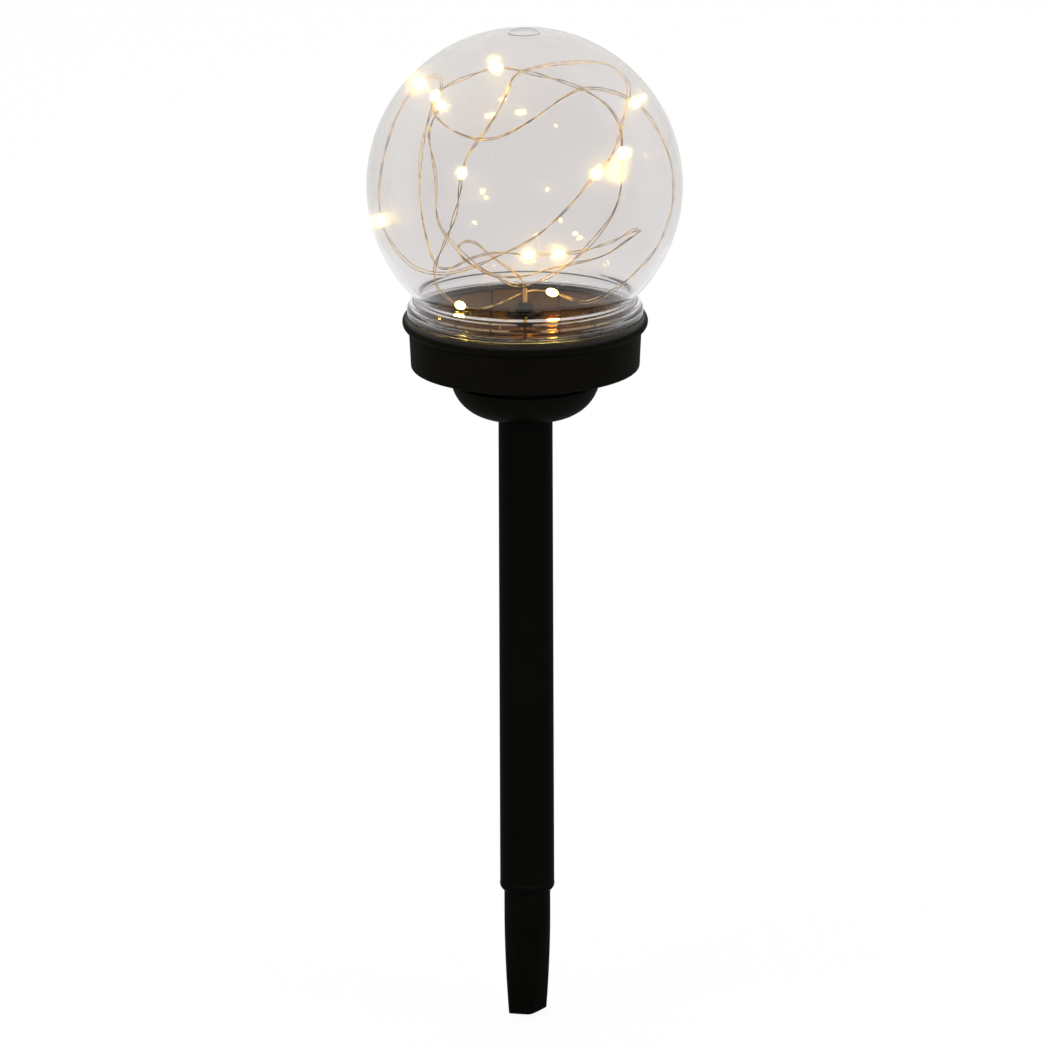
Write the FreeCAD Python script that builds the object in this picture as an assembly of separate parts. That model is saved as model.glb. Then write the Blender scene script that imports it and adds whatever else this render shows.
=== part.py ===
import FreeCAD, Part
import math
import os

# A solar garden light: a clear ball full of looped copper wire with small lights, on a black cup,
# a pole and a ground spike. Millimetres, +Z up. The origin is on the axis at the ground line,
# where the pole's lower end sits on the spike.

Vector = FreeCAD.Vector
up = Vector(0, 0, 1)
centre_line = Vector(0, 0, 0)

# Shared
overrun = 1.0
whole_turn = 360.0

# Ground spike
collar_ledge = 0.05
collar_length = 11.0
taper_length = 36.8
taper_middle_share = 0.52
middle_corner_reach = 8.27
middle_side_reach = 7.6
middle_corner_radius = 5.2
end_corner_reach = 7.2
end_side_reach = 5.7
end_corner_radius = 1.7
spike_turn = 53.5
corner_half_angle = 40.0
end_slope_share = 0.136
tenon_length = 28.0
tenon_lead_in = 1.0

# Pole
pole_radius = 10.3
pole_wall = 2.03
pole_length = 202.0
pole_clearance = 0.07
pole_edge_inset = 1.5
pole_edge_height = 3.5
pole_edge_bulge_share = 0.72

# Pole adapter, the bowl under the cup
socket_depth = 14.0
socket_clearance = 0.07
socket_wall = 1.8
socket_roof = 1.6
socket_headroom = 2.1
bowl_bottom_inset = 7.8
bowl_waist_inset = 0.9
bowl_waist_height_share = 0.467
bowl_top_reach = 1.7
bowl_wall = 2.2
bowl_collar_height = 5.1
bowl_ledge_drop = 0.6
adapter_screw_inset = 2.4
adapter_screw_start = 60.0
adapter_boss_radius = 3.0

# Housing cup. It is as wide and as high as the battery holder and the deck need.
holder_room = 6.63
lead_headroom = 2.7
rim_above_panel = 0.1
cup_wall = 2.3
cup_draft = 0.7
cup_floor = 2.0
cup_foot_round = 1.0
bead_reach = 4.75
bead_foot_drop = 5.9
bead_widest_drop = 3.2
bead_top_reach = 3.15
inner_wall_thickness = 1.8

# Fasteners
fixing_count = 3
housing_screw_inset = 3.6
housing_screw_start = 30.0
housing_screw_radius = 1.25
housing_screw_length = 12.0
screw_head_radius = 2.4
screw_head_height = 1.7
screw_recess_width = 0.6
screw_recess_depth = 0.9
screw_recess_length = 3.0
screw_recess_reach_share = 0.7
screw_pocket_clearance = 0.4
screw_pocket_depth = 3.0
screw_hole_clearance = 0.2
post_radius = 3.8
post_height = 5.8
deck_boss_radius = 3.1
deck_boss_gap = 0.1
adapter_screw_radius = 1.25
adapter_screw_length = 8.0
board_screw_radius = 0.9
board_screw_length = 4.0
board_screw_head_radius = 1.8
board_screw_head_height = 1.2

# Panel deck, panel and seal
seal_thickness = 1.0
seal_inset = 0.3
deck_clearance = 0.4
deck_overhang = 1.1
deck_plate = 1.6
deck_rim_wall = 0.9
panel_board_thickness = 1.2
panel_cover_thickness = 0.6
cell_thickness = 0.2
cell_count = 6
cell_gap = 0.8
cell_edge_margin = 2.4
cell_hub_margin = 1.6
panel_clearance = 0.1

# Wire grommet and sleeve
grommet_stem_radius = 2.2
grommet_base_radius = 5.9
grommet_base_height = 1.0
grommet_step_radius = 3.6
grommet_step_height = 1.9
grommet_nose_radius = 2.7
grommet_nose_height = 1.7
sleeve_radius = 0.8
sleeve_standing_height = 5.3
sleeve_buried = 2.0

# Globe
globe_radius = 60.0
globe_wall = 1.6
neck_reach = 0.6
neck_above_flange = 7.45
groove_reach = 0.1
groove_above_flange = 6.1
flange_gap = 0.2
flange_reach = 3.4
flange_edge = 1.6
flange_crown_reach = 2.55
flange_crown_height = 4.3
skirt_clearance = 0.45
skirt_wall = 1.5
skirt_depth = 7.0
lug_count = 3
lug_projection = 1.5
lug_height = 2.0
lug_rise = 0.9
lug_arc = 14.0
lug_clearance = 0.3
lug_side_clearance = 1.5
twist_angle = 25.0
mould_mark_radius = 5.8
mould_mark_width = 0.5
mould_mark_height = 0.15

# Light string
wire_radius = 0.6
bead_length = 5.0
bead_thickness = 3.0
chip_length = 1.6
chip_width = 0.8
chip_height = 0.5
chip_standoff = 0.15
arc_run_share = 0.45

# Battery, holder and contacts
cell_radius = 5.1
cell_wrap = 0.1
cell_body_length = 43.7
cap_radius = 1.9
cap_length = 0.8
holder_wall = 1.2
holder_floor = 1.0
holder_lip = 2.8
holder_side_gap = 0.3
holder_screw_gap = 0.42
spring_length = 2.5
contact_thickness = 0.5
contact_width = 6.0
contact_tab_height = 1.0
spring_wire_radius = 0.3
spring_big_radius = 3.0
spring_small_radius = 1.6
spring_turn_count = 3

# Circuit board and what stands on it
board_width = 18.0
board_near_y = 7.5
board_wall_gap = 0.46
board_thickness = 1.2
board_rise = 3.8
board_post_radius = 2.4
board_post_edge_inset = 3.0
board_post_near_inset = 4.5
board_post_far_inset = 8.5
chip_body = (4.0, 5.0, 1.6)
chip_edge_inset = 5.0
chip_near_inset = 17.0
chip_leg_reach = 1.0
chip_leg_width = 0.5
chip_leg_thickness = 0.25
chip_leg_count = 4
inductor_radius = 1.7
inductor_length = 7.0
inductor_edge_inset = 4.5
inductor_near_inset = 8.0
inductor_end_radius = 0.35
inductor_end_length = 1.2
capacitor_radius = 2.5
capacitor_height = 6.5
capacitor_edge_inset = 5.2
capacitor_near_inset = 10.5
capacitor_groove = 0.3

# Slide switch
switch_edge_inset = 2.4
switch_length = 8.6
switch_width = 4.4
switch_wall = 0.6
switch_travel = 2.0
knob_length = 4.0
knob_width = 2.8
knob_drop = 1.2
knob_clearance = 0.3
stem_length = 1.8
stem_width = 1.4
stem_height = 2.2
ridge_count = 3
ridge_depth = 0.3
ridge_width = 0.4

# Leads inside the cup
lead_radius = 0.5
lead_spacing = 2.2
lead_near_inset = 2.0
string_lead_edge_inset = 5.5
panel_lead_edge_inset = 4.5
panel_lead_exit = (-9.0, 4.0)
lead_hole_clearance = 0.3
string_lead_rise = 3.0
string_lead_turn_rise = 4.5

# The pole and the spike
pole_edge_radius = pole_radius - pole_edge_inset
pole_bore_radius = pole_radius - pole_wall
tenon_radius = pole_bore_radius - pole_clearance
collar_radius = pole_edge_radius - collar_ledge
socket_radius = pole_radius + socket_clearance

# The battery holder, between the screws that stand in the cup's floor
cell_wrapped_radius = cell_radius + cell_wrap
holder_inner_half_width = cell_wrapped_radius + holder_side_gap
holder_half_width = holder_inner_half_width + holder_wall
holder_inner_length = contact_thickness * 2 + spring_length + cell_body_length + cap_length
holder_half_length = holder_inner_length / 2 + holder_wall
screw_side_room = screw_head_radius + holder_screw_gap
holder_centre_y = -(screw_side_room + holder_half_width)
holder_far_reach = screw_side_room + 2 * holder_half_width
holder_height = holder_floor + cell_wrapped_radius + holder_lip

# The bowl under the cup
adapter_screw_side = holder_far_reach + screw_side_room
adapter_screw_circle = adapter_screw_side / math.sin(math.radians(adapter_screw_start))
bowl_collar_inside_radius = adapter_screw_circle + adapter_screw_inset
bowl_collar_radius = bowl_collar_inside_radius + bowl_wall
bowl_top_radius = bowl_collar_radius + bowl_top_reach
bowl_waist_radius = bowl_collar_radius - bowl_waist_inset
bowl_bottom_radius = bowl_collar_radius - bowl_bottom_inset
bowl_full_height = socket_depth + socket_roof + socket_headroom
bowl_height = bowl_full_height - bowl_ledge_drop - bowl_collar_height
bowl_waist_height = bowl_height * bowl_waist_height_share

# The cup, the deck and the globe's neck, from the inside out
inner_wall_inside_radius = math.hypot(holder_half_length, holder_far_reach) + holder_room
inner_wall_radius = inner_wall_inside_radius + inner_wall_thickness
deck_radius = inner_wall_radius + deck_overhang
skirt_inner_radius = deck_radius + deck_clearance
skirt_radius = skirt_inner_radius + skirt_wall
cup_cavity_radius = skirt_radius + skirt_clearance
cup_top_radius = cup_cavity_radius + cup_wall
cup_bottom_radius = cup_top_radius - cup_draft
bead_radius = cup_cavity_radius + bead_reach
bead_top_radius = cup_cavity_radius + bead_top_reach
neck_radius = skirt_radius + neck_reach
groove_radius = skirt_radius + groove_reach
flange_radius = skirt_radius + flange_reach
flange_crown_radius = skirt_radius + flange_crown_reach
housing_screw_circle = inner_wall_inside_radius - housing_screw_inset
inner_wall_height = cup_floor + holder_floor + 2 * cell_wrapped_radius + lead_headroom
deck_height = deck_plate + panel_board_thickness + panel_cover_thickness
cup_height = inner_wall_height + seal_thickness + deck_height + rim_above_panel

# The circuit board, which reaches to the inner wall, and the switch at its far edge
board_corner_reach = inner_wall_inside_radius - board_wall_gap
board_side_x = board_width / 2
board_far_y = math.sqrt(board_corner_reach ** 2 - board_side_x ** 2)
board_post_x = board_side_x - board_post_edge_inset
board_post_near = (-board_post_x, board_near_y + board_post_near_inset)
board_post_far = (board_post_x, board_far_y - board_post_far_inset)
chip_place = (chip_edge_inset - board_side_x, board_near_y + chip_near_inset)
inductor_place = (board_side_x - inductor_edge_inset, board_near_y + inductor_near_inset)
capacitor_place = (capacitor_edge_inset - board_side_x, board_near_y + capacitor_near_inset)
lead_row_y = board_near_y + lead_near_inset
string_lead_place = (board_side_x - string_lead_edge_inset, lead_row_y)
panel_lead_place = (panel_lead_edge_inset - board_side_x, lead_row_y)
switch_centre_y = board_far_y - switch_edge_inset

# Places along the axis
bowl_bottom_z = pole_length - socket_depth
cup_bottom_z = bowl_bottom_z + bowl_full_height
floor_z = cup_bottom_z + cup_floor
rim_z = cup_bottom_z + cup_height
inner_wall_top_z = cup_bottom_z + inner_wall_height
deck_under_z = inner_wall_top_z + seal_thickness
deck_floor_z = deck_under_z + deck_plate
panel_top_z = deck_under_z + deck_height
grommet_top_z = panel_top_z + grommet_base_height + grommet_step_height + grommet_nose_height
sleeve_top_z = grommet_top_z + sleeve_standing_height
sleeve_bottom_z = grommet_top_z - sleeve_buried
flange_z = rim_z + flange_gap
neck_z = flange_z + neck_above_flange
globe_z = neck_z + math.sqrt(globe_radius ** 2 - neck_radius ** 2)
skirt_bottom_z = flange_z - skirt_depth
spike_end_z = -collar_length - taper_length
board_z = floor_z + board_rise
board_top_z = board_z + board_thickness
cell_axis_z = floor_z + holder_floor + cell_wrapped_radius

# The wire's route inside the ball, in millimetres from the origin, read by eye off the photograph.
# It starts in the sleeve, makes a small loop at the left, and ends high at the left.
wire_start_run = 10.0
wire_route = [
    (-4.8, 1, 243), (-13.8, 3, 248.7), (-18.4, 5, 253.2), (-23.5, 4, 254), (-26, 0, 251.5),
    (-23, -4, 248), (-13.5, -6.5, 243.5), (-2, -6.5, 237.9), (8, -4.5, 240.9), (17.5, -8, 248.5),
    (24.9, -14, 257.3), (32, -20, 268), (35.5, -25, 277), (37, -30, 290), (36.6, -31.5, 297.2),
    (36.3, -28, 305.2), (34, -25.5, 310.4), (29.5, -20, 314.4), (20.5, -12, 318.1),
    (8, -10, 321.5), (-4, -13, 325.1), (-10.2, -12.5, 325.7), (-17.5, -14, 324),
    (-27.5, -17, 320.5), (-33.8, -19.5, 317), (-35, -25, 312), (-28.5, -32.5, 306.8),
    (-17.5, -42, 304.8), (-8, -44.5, 306.9), (3.5, -38, 312), (15, -30, 318.8), (22.5, -22, 320.3),
    (32.2, -14, 317), (41.5, -6, 310.7), (47, 0, 303.7), (52.8, 2, 293.2), (56.1, 3, 283.5),
    (56.8, 2, 275), (56.1, 1, 267), (54, 0, 259.3), (50.6, 1.5, 251.6), (46.6, 3.5, 245.4),
    (42, 7, 239.9), (36, 9, 233.6), (28, 7, 229.5), (22, 4, 228.8), (16, 7, 230.5),
    (10, 10.5, 232), (1, 4.5, 234.5), (-8, -6.2, 232.3), (-17, -14, 231.5), (-24.6, -20, 234.8),
    (-30, -23.5, 239.5), (-33.5, -24, 244), (-34.5, -27, 252), (-29.5, -36, 265),
    (-25.5, -43, 278), (-24.5, -45, 286), (-23.3, -44.5, 293.5), (-22, -40, 298),
    (-18.2, -34, 301.8), (-11.3, -28, 309.7), (-6.2, -20, 317.8), (-4, -8, 322.5), (8, 2, 323),
    (20.5, 9, 322.5), (29.3, 12, 321.8), (35.6, 11.5, 319.2), (39.8, 9.5, 314), (39.4, 8, 308),
    (37, 4, 299.5), (34.5, -2, 291.5), (31, -8, 287), (27.1, -12, 284.4), (20.7, -18, 277.6),
    (13.8, -22, 270.7), (3.7, -24, 262.1), (-8, -24, 256.3), (-17.5, -22, 251.2),
    (-27.5, -18, 247), (-35.5, -13.5, 245.8), (-42.7, -8.5, 246.9), (-48.4, -4, 251.6),
    (-52.9, -2, 258), (-55.1, -1, 263.9), (-55.6, 2, 275), (-53.5, 5, 288), (-48, 8, 304),
    (-39.9, 9.6, 315), (-32.5, 14.5, 317), (-31, 22.5, 310), (-35.5, 29, 300), (-39.5, 33.5, 284),
    (-40.5, 33.5, 268), (-39.5, 30, 256), (-37, 23.5, 246.5), (-34, 16, 240), (-28.5, 11.5, 240.5),
    (-20, 10, 246), (-10, 8, 248.5), (1.4, 8, 247.1), (12.4, 10, 247.1), (20.6, 12.5, 246.9),
    (29, 16.5, 248.4), (36, 22, 249.6), (41, 23.5, 252.5), (44.5, 20, 254), (43.5, 14.5, 254),
    (38.3, 11.4, 251.4), (31, 6.5, 247.1), (20.5, 3, 245.4), (9, 5, 242.5), (-0.5, 9, 238),
    (-13, 5, 239.5), (-21.5, 5, 246), (-28, 7, 252.5), (-32.5, 11.5, 257.5), (-34, 16, 263),
    (-33.5, 21, 272), (-35, 22.5, 281.5), (-37, 20.5, 291.5), (-33.5, 14.5, 302),
    (-30.6, 7, 306.9),
]
# The route's points that carry a light, counted from the first point of the list.
lit_point_counts = [14, 21, 24, 33, 47, 51, 58, 73, 84, 88, 100, 101, 122]


def place(radius, degrees, z):
    """A point at this radius and angle about the axis."""
    turn = math.radians(degrees)
    return Vector(radius * math.cos(turn), radius * math.sin(turn), z)


def side_point(radius, z):
    """A point of an outline that is turned about the axis."""
    return Vector(radius, 0, z)


def line(start, end):
    return Part.LineSegment(start, end).toShape()


def arc(start, middle, end):
    return Part.Arc(start, middle, end).toShape()


def turned(edges):
    """The solid that a closed outline in the XZ plane makes when it is turned about the axis."""
    face = Part.Face(Part.Wire(edges))
    return Part.makeSolid(face.revolve(centre_line, up, whole_turn))


def polyline(points):
    return [line(a, b) for a, b in zip(points, points[1:] + points[:1])]


def disc(radius, bottom, top, x=0.0, y=0.0):
    return Part.makeCylinder(radius, top - bottom, Vector(x, y, bottom), up)


def ring(outer, inner, bottom, top):
    hole = disc(inner, bottom - overrun, top + overrun)
    return disc(outer, bottom, top).cut(hole)


def block(x_low, x_high, y_low, y_high, z_low, z_high):
    corner = Vector(x_low, y_low, z_low)
    return Part.makeBox(x_high - x_low, y_high - y_low, z_high - z_low, corner)


def fixing_places(circle, start):
    """Evenly spread places for screws: their x and y."""
    step = whole_turn / fixing_count
    return [place(circle, start + step * number, 0) for number in range(fixing_count)]


def arc_sector(outer, inner, bottom, top, start, sweep):
    """A piece of a ring that covers an angle about the axis."""
    outline = polyline([
        side_point(inner, bottom), side_point(outer, bottom),
        side_point(outer, top), side_point(inner, top),
    ])
    face = Part.Face(Part.Wire(outline))
    face.rotate(centre_line, up, start)
    return Part.makeSolid(face.revolve(centre_line, up, sweep))


def screw(radius, length, head_radius, head_height, place_at, head_up):
    """A pan screw with a cross recess; place_at is where the head meets what it holds."""
    way = 1 if head_up else -1
    head = Part.makeCylinder(head_radius, head_height, Vector(0, 0, 0), up * way)
    shank = Part.makeCylinder(radius, length, Vector(0, 0, 0), up * -way)
    body = head.fuse(shank)
    top = head_height * way
    low, high = sorted((top - screw_recess_depth * way, top + overrun * way))
    half_width = screw_recess_width / 2
    reach = min(screw_recess_length / 2, head_radius * screw_recess_reach_share)
    body = body.cut(block(-reach, reach, -half_width, half_width, low, high))
    body = body.cut(block(-half_width, half_width, -reach, reach, low, high))
    body = body.removeSplitter()
    body.translate(place_at)
    return body


def smooth_path(points):
    """Straight runs joined by arcs that meet them smoothly, each as large as its runs allow.
    Gives the wire, the arcs' middles, and the arcs' radii."""
    edges = []
    middles = []
    radii = []
    last = points[0]
    for before, corner, after in zip(points, points[1:], points[2:]):
        arriving = corner - before
        leaving = after - corner
        shorter = min(arriving.Length, leaving.Length)
        turn = arriving.getAngle(leaving)
        reach = arc_run_share * shorter
        radius = reach / math.tan(turn / 2)
        into = Vector(arriving).normalize()
        out = Vector(leaving).normalize()
        start = corner - into * reach
        end = corner + out * reach
        bisector = (out - into).normalize()
        rise = radius / math.cos(turn / 2) - radius
        middle = corner + bisector * rise
        edges.append(line(last, start))
        edges.append(arc(start, middle, end))
        middles.append(middle)
        radii.append(radius)
        last = end
    edges.append(line(last, points[-1]))
    return Part.Wire(edges), middles, radii


def tube(points, radius):
    """A round wire of this radius along a smooth path."""
    path, middles, radii = smooth_path(points)
    way = (points[1] - points[0]).normalize()
    section = Part.Wire(Part.makeCircle(radius, points[0], way))
    solid = path.makePipeShell([section], True, False)
    return solid, middles, radii, path.Length


def spike_section(z, corner_reach, side_reach, corner_radius):
    """A rounded square whose sides bulge a little, as one closed wire. Its plane is level at the
    top of the taper and slopes at the end."""
    slope = end_slope_share * (-collar_length - z) / taper_length
    centre_reach = corner_reach - corner_radius

    def at(x, y):
        return Vector(x, y, z + slope * x)

    corners = []
    for number in range(4):
        angle = math.radians(spike_turn + 45 + 90 * number)
        cx = centre_reach * math.cos(angle)
        cy = centre_reach * math.sin(angle)
        points = []
        for step in (-1, 0, 1):
            turn = angle + step * math.radians(corner_half_angle)
            points.append(at(cx + corner_radius * math.cos(turn), cy + corner_radius * math.sin(turn)))
        corners.append(points)
    edges = []
    for number in range(4):
        here = corners[number]
        after = corners[(number + 1) % 4]
        side_angle = math.radians(spike_turn + 90 + 90 * number)
        side = at(side_reach * math.cos(side_angle), side_reach * math.sin(side_angle))
        edges.append(arc(here[0], here[1], here[2]))
        edges.append(arc(here[2], side, after[0]))
    return Part.Wire(edges)


def ground_spike():
    """The round collar and tenon, and the taper that goes into the ground."""
    middle_z = -collar_length - taper_length * taper_middle_share
    sections = [
        spike_section(-collar_length, collar_radius, collar_radius, collar_radius),
        spike_section(middle_z, middle_corner_reach, middle_side_reach, middle_corner_radius),
        spike_section(spike_end_z, end_corner_reach, end_side_reach, end_corner_radius),
    ]
    taper = Part.makeLoft(sections, True, False)
    collar = disc(collar_radius, -collar_length, 0)
    tenon = turned(polyline([
        side_point(0, 0), side_point(tenon_radius, 0),
        side_point(tenon_radius, tenon_length - tenon_lead_in),
        side_point(tenon_radius - tenon_lead_in, tenon_length),
        side_point(0, tenon_length),
    ]))
    return taper.fuse(collar).fuse(tenon).removeSplitter()


def pole_tube():
    """A plain tube whose lower edge rounds in to the spike."""
    bulge = side_point(
        pole_edge_radius + pole_edge_inset * pole_edge_bulge_share,
        pole_edge_height * (1 - pole_edge_bulge_share),
    )
    low_edge = side_point(pole_edge_radius, 0)
    shoulder = side_point(pole_radius, pole_edge_height)
    top = side_point(pole_radius, pole_length)
    bore_top = side_point(pole_bore_radius, pole_length)
    bore_low = side_point(pole_bore_radius, 0)
    return turned([
        line(bore_low, low_edge), arc(low_edge, bulge, shoulder), line(shoulder, top),
        line(top, bore_top), line(bore_top, bore_low),
    ])


def bowl_outline(inset):
    """The bowl's side from its bottom edge to its ledge, moved in by a wall's thickness."""
    low = side_point(bowl_bottom_radius - inset, bowl_bottom_z + inset)
    waist = side_point(bowl_waist_radius - inset, bowl_bottom_z + bowl_waist_height + inset / 2)
    high = side_point(bowl_top_radius - inset, bowl_bottom_z + bowl_height)
    return low, waist, high


def pole_adapter():
    """The bowl under the cup, with the socket that the pole plugs into."""
    low, waist, high = bowl_outline(0)
    in_low, in_waist, in_high = bowl_outline(bowl_wall)
    ledge = side_point(bowl_collar_radius, bowl_bottom_z + bowl_height + bowl_ledge_drop)
    collar_top = side_point(bowl_collar_radius, cup_bottom_z)
    in_top = side_point(bowl_collar_inside_radius, cup_bottom_z)
    in_ledge = side_point(bowl_collar_inside_radius, ledge.z)
    axis_low = side_point(0, bowl_bottom_z)
    axis_high = side_point(0, in_low.z)
    shell = turned([
        line(axis_low, low), arc(low, waist, high), line(high, ledge), line(ledge, collar_top),
        line(collar_top, in_top), line(in_top, in_ledge), line(in_ledge, in_high),
        arc(in_high, in_waist, in_low), line(in_low, axis_high), line(axis_high, axis_low),
    ])
    room = turned([
        line(axis_low, low), arc(low, waist, high), line(high, ledge), line(ledge, collar_top),
        line(collar_top, side_point(0, cup_bottom_z)), line(side_point(0, cup_bottom_z), axis_low),
    ])
    for at in fixing_places(adapter_screw_circle, adapter_screw_start):
        boss = disc(adapter_boss_radius, bowl_bottom_z, cup_bottom_z, at.x, at.y)
        shell = shell.fuse(boss.common(room))
    socket_top = pole_length + socket_roof
    shell = shell.fuse(disc(socket_radius + socket_wall, bowl_bottom_z, socket_top))
    shell = shell.cut(disc(socket_radius, bowl_bottom_z - overrun, pole_length))
    hole_bottom = floor_z - adapter_screw_length
    for at in fixing_places(adapter_screw_circle, adapter_screw_start):
        hole = disc(adapter_screw_radius, hole_bottom, cup_bottom_z + overrun, at.x, at.y)
        shell = shell.cut(hole)
    return shell.removeSplitter()


def cup_shell():
    """The cup's wall with its rolled rim, its floor, and the inner wall that carries the deck."""
    foot_z = cup_bottom_z + cup_foot_round
    foot_in = side_point(cup_bottom_radius - cup_foot_round, cup_bottom_z)
    foot_out = side_point(cup_bottom_radius, foot_z)
    foot_middle = side_point(
        foot_in.x + cup_foot_round * math.sin(math.pi / 4),
        foot_z - cup_foot_round * math.cos(math.pi / 4),
    )
    bead_low = side_point(cup_top_radius, rim_z - bead_foot_drop)
    bead_wide = side_point(bead_radius, rim_z - bead_widest_drop)
    bead_top = side_point(bead_top_radius, rim_z)
    rim_in = side_point(cup_cavity_radius, rim_z)
    moat_out = side_point(cup_cavity_radius, floor_z)
    moat_in = side_point(inner_wall_radius, floor_z)
    wall_top_out = side_point(inner_wall_radius, inner_wall_top_z)
    wall_top_in = side_point(inner_wall_inside_radius, inner_wall_top_z)
    bay_floor = side_point(wall_top_in.x, floor_z)
    middle_floor = side_point(0, floor_z)
    middle_bottom = side_point(0, cup_bottom_z)
    return turned([
        line(middle_bottom, foot_in), arc(foot_in, foot_middle, foot_out),
        line(foot_out, bead_low), arc(bead_low, bead_wide, bead_top), line(bead_top, rim_in),
        line(rim_in, moat_out), line(moat_out, moat_in), line(moat_in, wall_top_out),
        line(wall_top_out, wall_top_in), line(wall_top_in, bay_floor),
        line(bay_floor, middle_floor), line(middle_floor, middle_bottom),
    ])


def lug_levels():
    """The bottom and top of the globe's lugs."""
    bottom = skirt_bottom_z + lug_rise
    return bottom, bottom + lug_height


def lock_grooves():
    """What the globe's lugs need in the cup's wall: a level groove and a way out at its end."""
    bottom, top = lug_levels()
    outer = skirt_radius + lug_projection + lug_clearance
    inner = cup_cavity_radius - overrun
    half = lug_arc / 2 + lug_side_clearance
    grooves = []
    for number in range(lug_count):
        middle = whole_turn / lug_count * number
        grooves.append(arc_sector(
            outer, inner, bottom - lug_clearance, top + lug_clearance,
            middle - half, half * 2 + twist_angle,
        ))
        grooves.append(arc_sector(
            outer, inner, bottom - lug_clearance, rim_z + overrun,
            middle + twist_angle - half, half * 2,
        ))
    return grooves


def switch_slot():
    """The opening in the floor that the switch's knob slides in."""
    half_length = knob_length / 2 + knob_clearance
    half_width = knob_width / 2 + knob_clearance
    return block(
        -half_length - switch_travel, half_length,
        switch_centre_y - half_width, switch_centre_y + half_width,
        cup_bottom_z - overrun, floor_z + overrun,
    )


def housing_cup():
    """The cup with its posts, screw holes, lock grooves and switch slot."""
    cup = cup_shell()
    pocket_top = cup_bottom_z + screw_pocket_depth
    pocket_radius = screw_head_radius + screw_pocket_clearance
    hole_radius = housing_screw_radius + screw_hole_clearance
    for at in fixing_places(housing_screw_circle, housing_screw_start):
        cup = cup.fuse(disc(post_radius, floor_z, floor_z + post_height, at.x, at.y))
        cup = cup.cut(disc(pocket_radius, cup_bottom_z - overrun, pocket_top, at.x, at.y))
        cup = cup.cut(disc(hole_radius, cup_bottom_z, floor_z + post_height + overrun, at.x, at.y))
    for at in fixing_places(adapter_screw_circle, adapter_screw_start):
        radius = adapter_screw_radius + screw_hole_clearance
        cup = cup.cut(disc(radius, cup_bottom_z - overrun, floor_z + overrun, at.x, at.y))
    for x, y in (board_post_near, board_post_far):
        cup = cup.fuse(disc(board_post_radius, floor_z, board_z, x, y))
        hole_bottom = board_top_z - board_screw_length
        cup = cup.cut(disc(board_screw_radius, hole_bottom, board_z + overrun, x, y))
    for groove in lock_grooves():
        cup = cup.cut(groove)
    return cup.cut(switch_slot())


def deck_seal():
    """A flat ring between the inner wall and the deck."""
    outer = inner_wall_radius - seal_inset
    inner = inner_wall_inside_radius + seal_inset
    return ring(outer, inner, inner_wall_top_z, deck_under_z)


def panel_radius():
    return deck_radius - deck_rim_wall - panel_clearance


def panel_lead_holes():
    """The places where the panel's two leads pass through the deck."""
    x, y = panel_lead_exit
    return [(x - lead_spacing / 2, y), (x + lead_spacing / 2, y)]


def panel_deck():
    """The dished lid that carries the panel and closes the cup."""
    deck = disc(deck_radius, deck_under_z, panel_top_z)
    recess = disc(deck_radius - deck_rim_wall, deck_floor_z, panel_top_z + overrun)
    deck = deck.cut(recess)
    boss_bottom = floor_z + post_height + deck_boss_gap
    for at in fixing_places(housing_screw_circle, housing_screw_start):
        deck = deck.fuse(disc(deck_boss_radius, boss_bottom, deck_under_z, at.x, at.y))
        screw_top = cup_bottom_z + screw_pocket_depth + housing_screw_length
        deck = deck.cut(disc(housing_screw_radius, boss_bottom - overrun, screw_top, at.x, at.y))
    stem_hole = disc(grommet_stem_radius, deck_under_z - overrun, deck_floor_z + overrun)
    deck = deck.cut(stem_hole)
    for x, y in panel_lead_holes():
        radius = lead_radius + lead_hole_clearance
        deck = deck.cut(disc(radius, deck_under_z - overrun, deck_floor_z + overrun, x, y))
    return deck.removeSplitter()


def panel_board():
    """The dark board under the cells."""
    return ring(panel_radius(), grommet_stem_radius, deck_floor_z, deck_floor_z + panel_board_thickness)


def solar_cells():
    """Strips of silicon across the disc, each cut to the round edge and round the hub."""
    bottom = deck_floor_z + panel_board_thickness
    field = ring(
        panel_radius() - cell_edge_margin, grommet_base_radius + cell_hub_margin,
        bottom, bottom + cell_thickness,
    )
    width = 2 * panel_radius() / cell_count
    strips = []
    for number in range(cell_count):
        left = -panel_radius() + width * number + cell_gap / 2
        strip = block(
            left, left + width - cell_gap, -panel_radius(), panel_radius(),
            bottom, bottom + cell_thickness,
        )
        strips.extend(field.common(strip).Solids)
    return strips


def panel_cover(cells):
    """The clear layer cast over the board and the cells."""
    bottom = deck_floor_z + panel_board_thickness
    cover = ring(panel_radius(), grommet_stem_radius, bottom, panel_top_z)
    return cover.cut(Part.makeCompound(cells))


def wire_grommet():
    """The stepped hub in the middle of the panel, with its stem through the deck."""
    base_z = panel_top_z
    step_z = base_z + grommet_base_height
    nose_z = step_z + grommet_step_height
    hub = disc(grommet_stem_radius, deck_under_z, base_z)
    hub = hub.fuse(disc(grommet_base_radius, base_z, step_z))
    hub = hub.fuse(disc(grommet_step_radius, step_z, nose_z))
    hub = hub.fuse(disc(grommet_nose_radius, nose_z, grommet_top_z))
    hub = hub.cut(disc(wire_radius, deck_under_z - overrun, sleeve_bottom_z))
    hub = hub.cut(disc(sleeve_radius, sleeve_bottom_z, grommet_top_z + overrun))
    return hub.removeSplitter()


def wire_sleeve():
    return ring(sleeve_radius, wire_radius, sleeve_bottom_z, sleeve_top_z)


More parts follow.
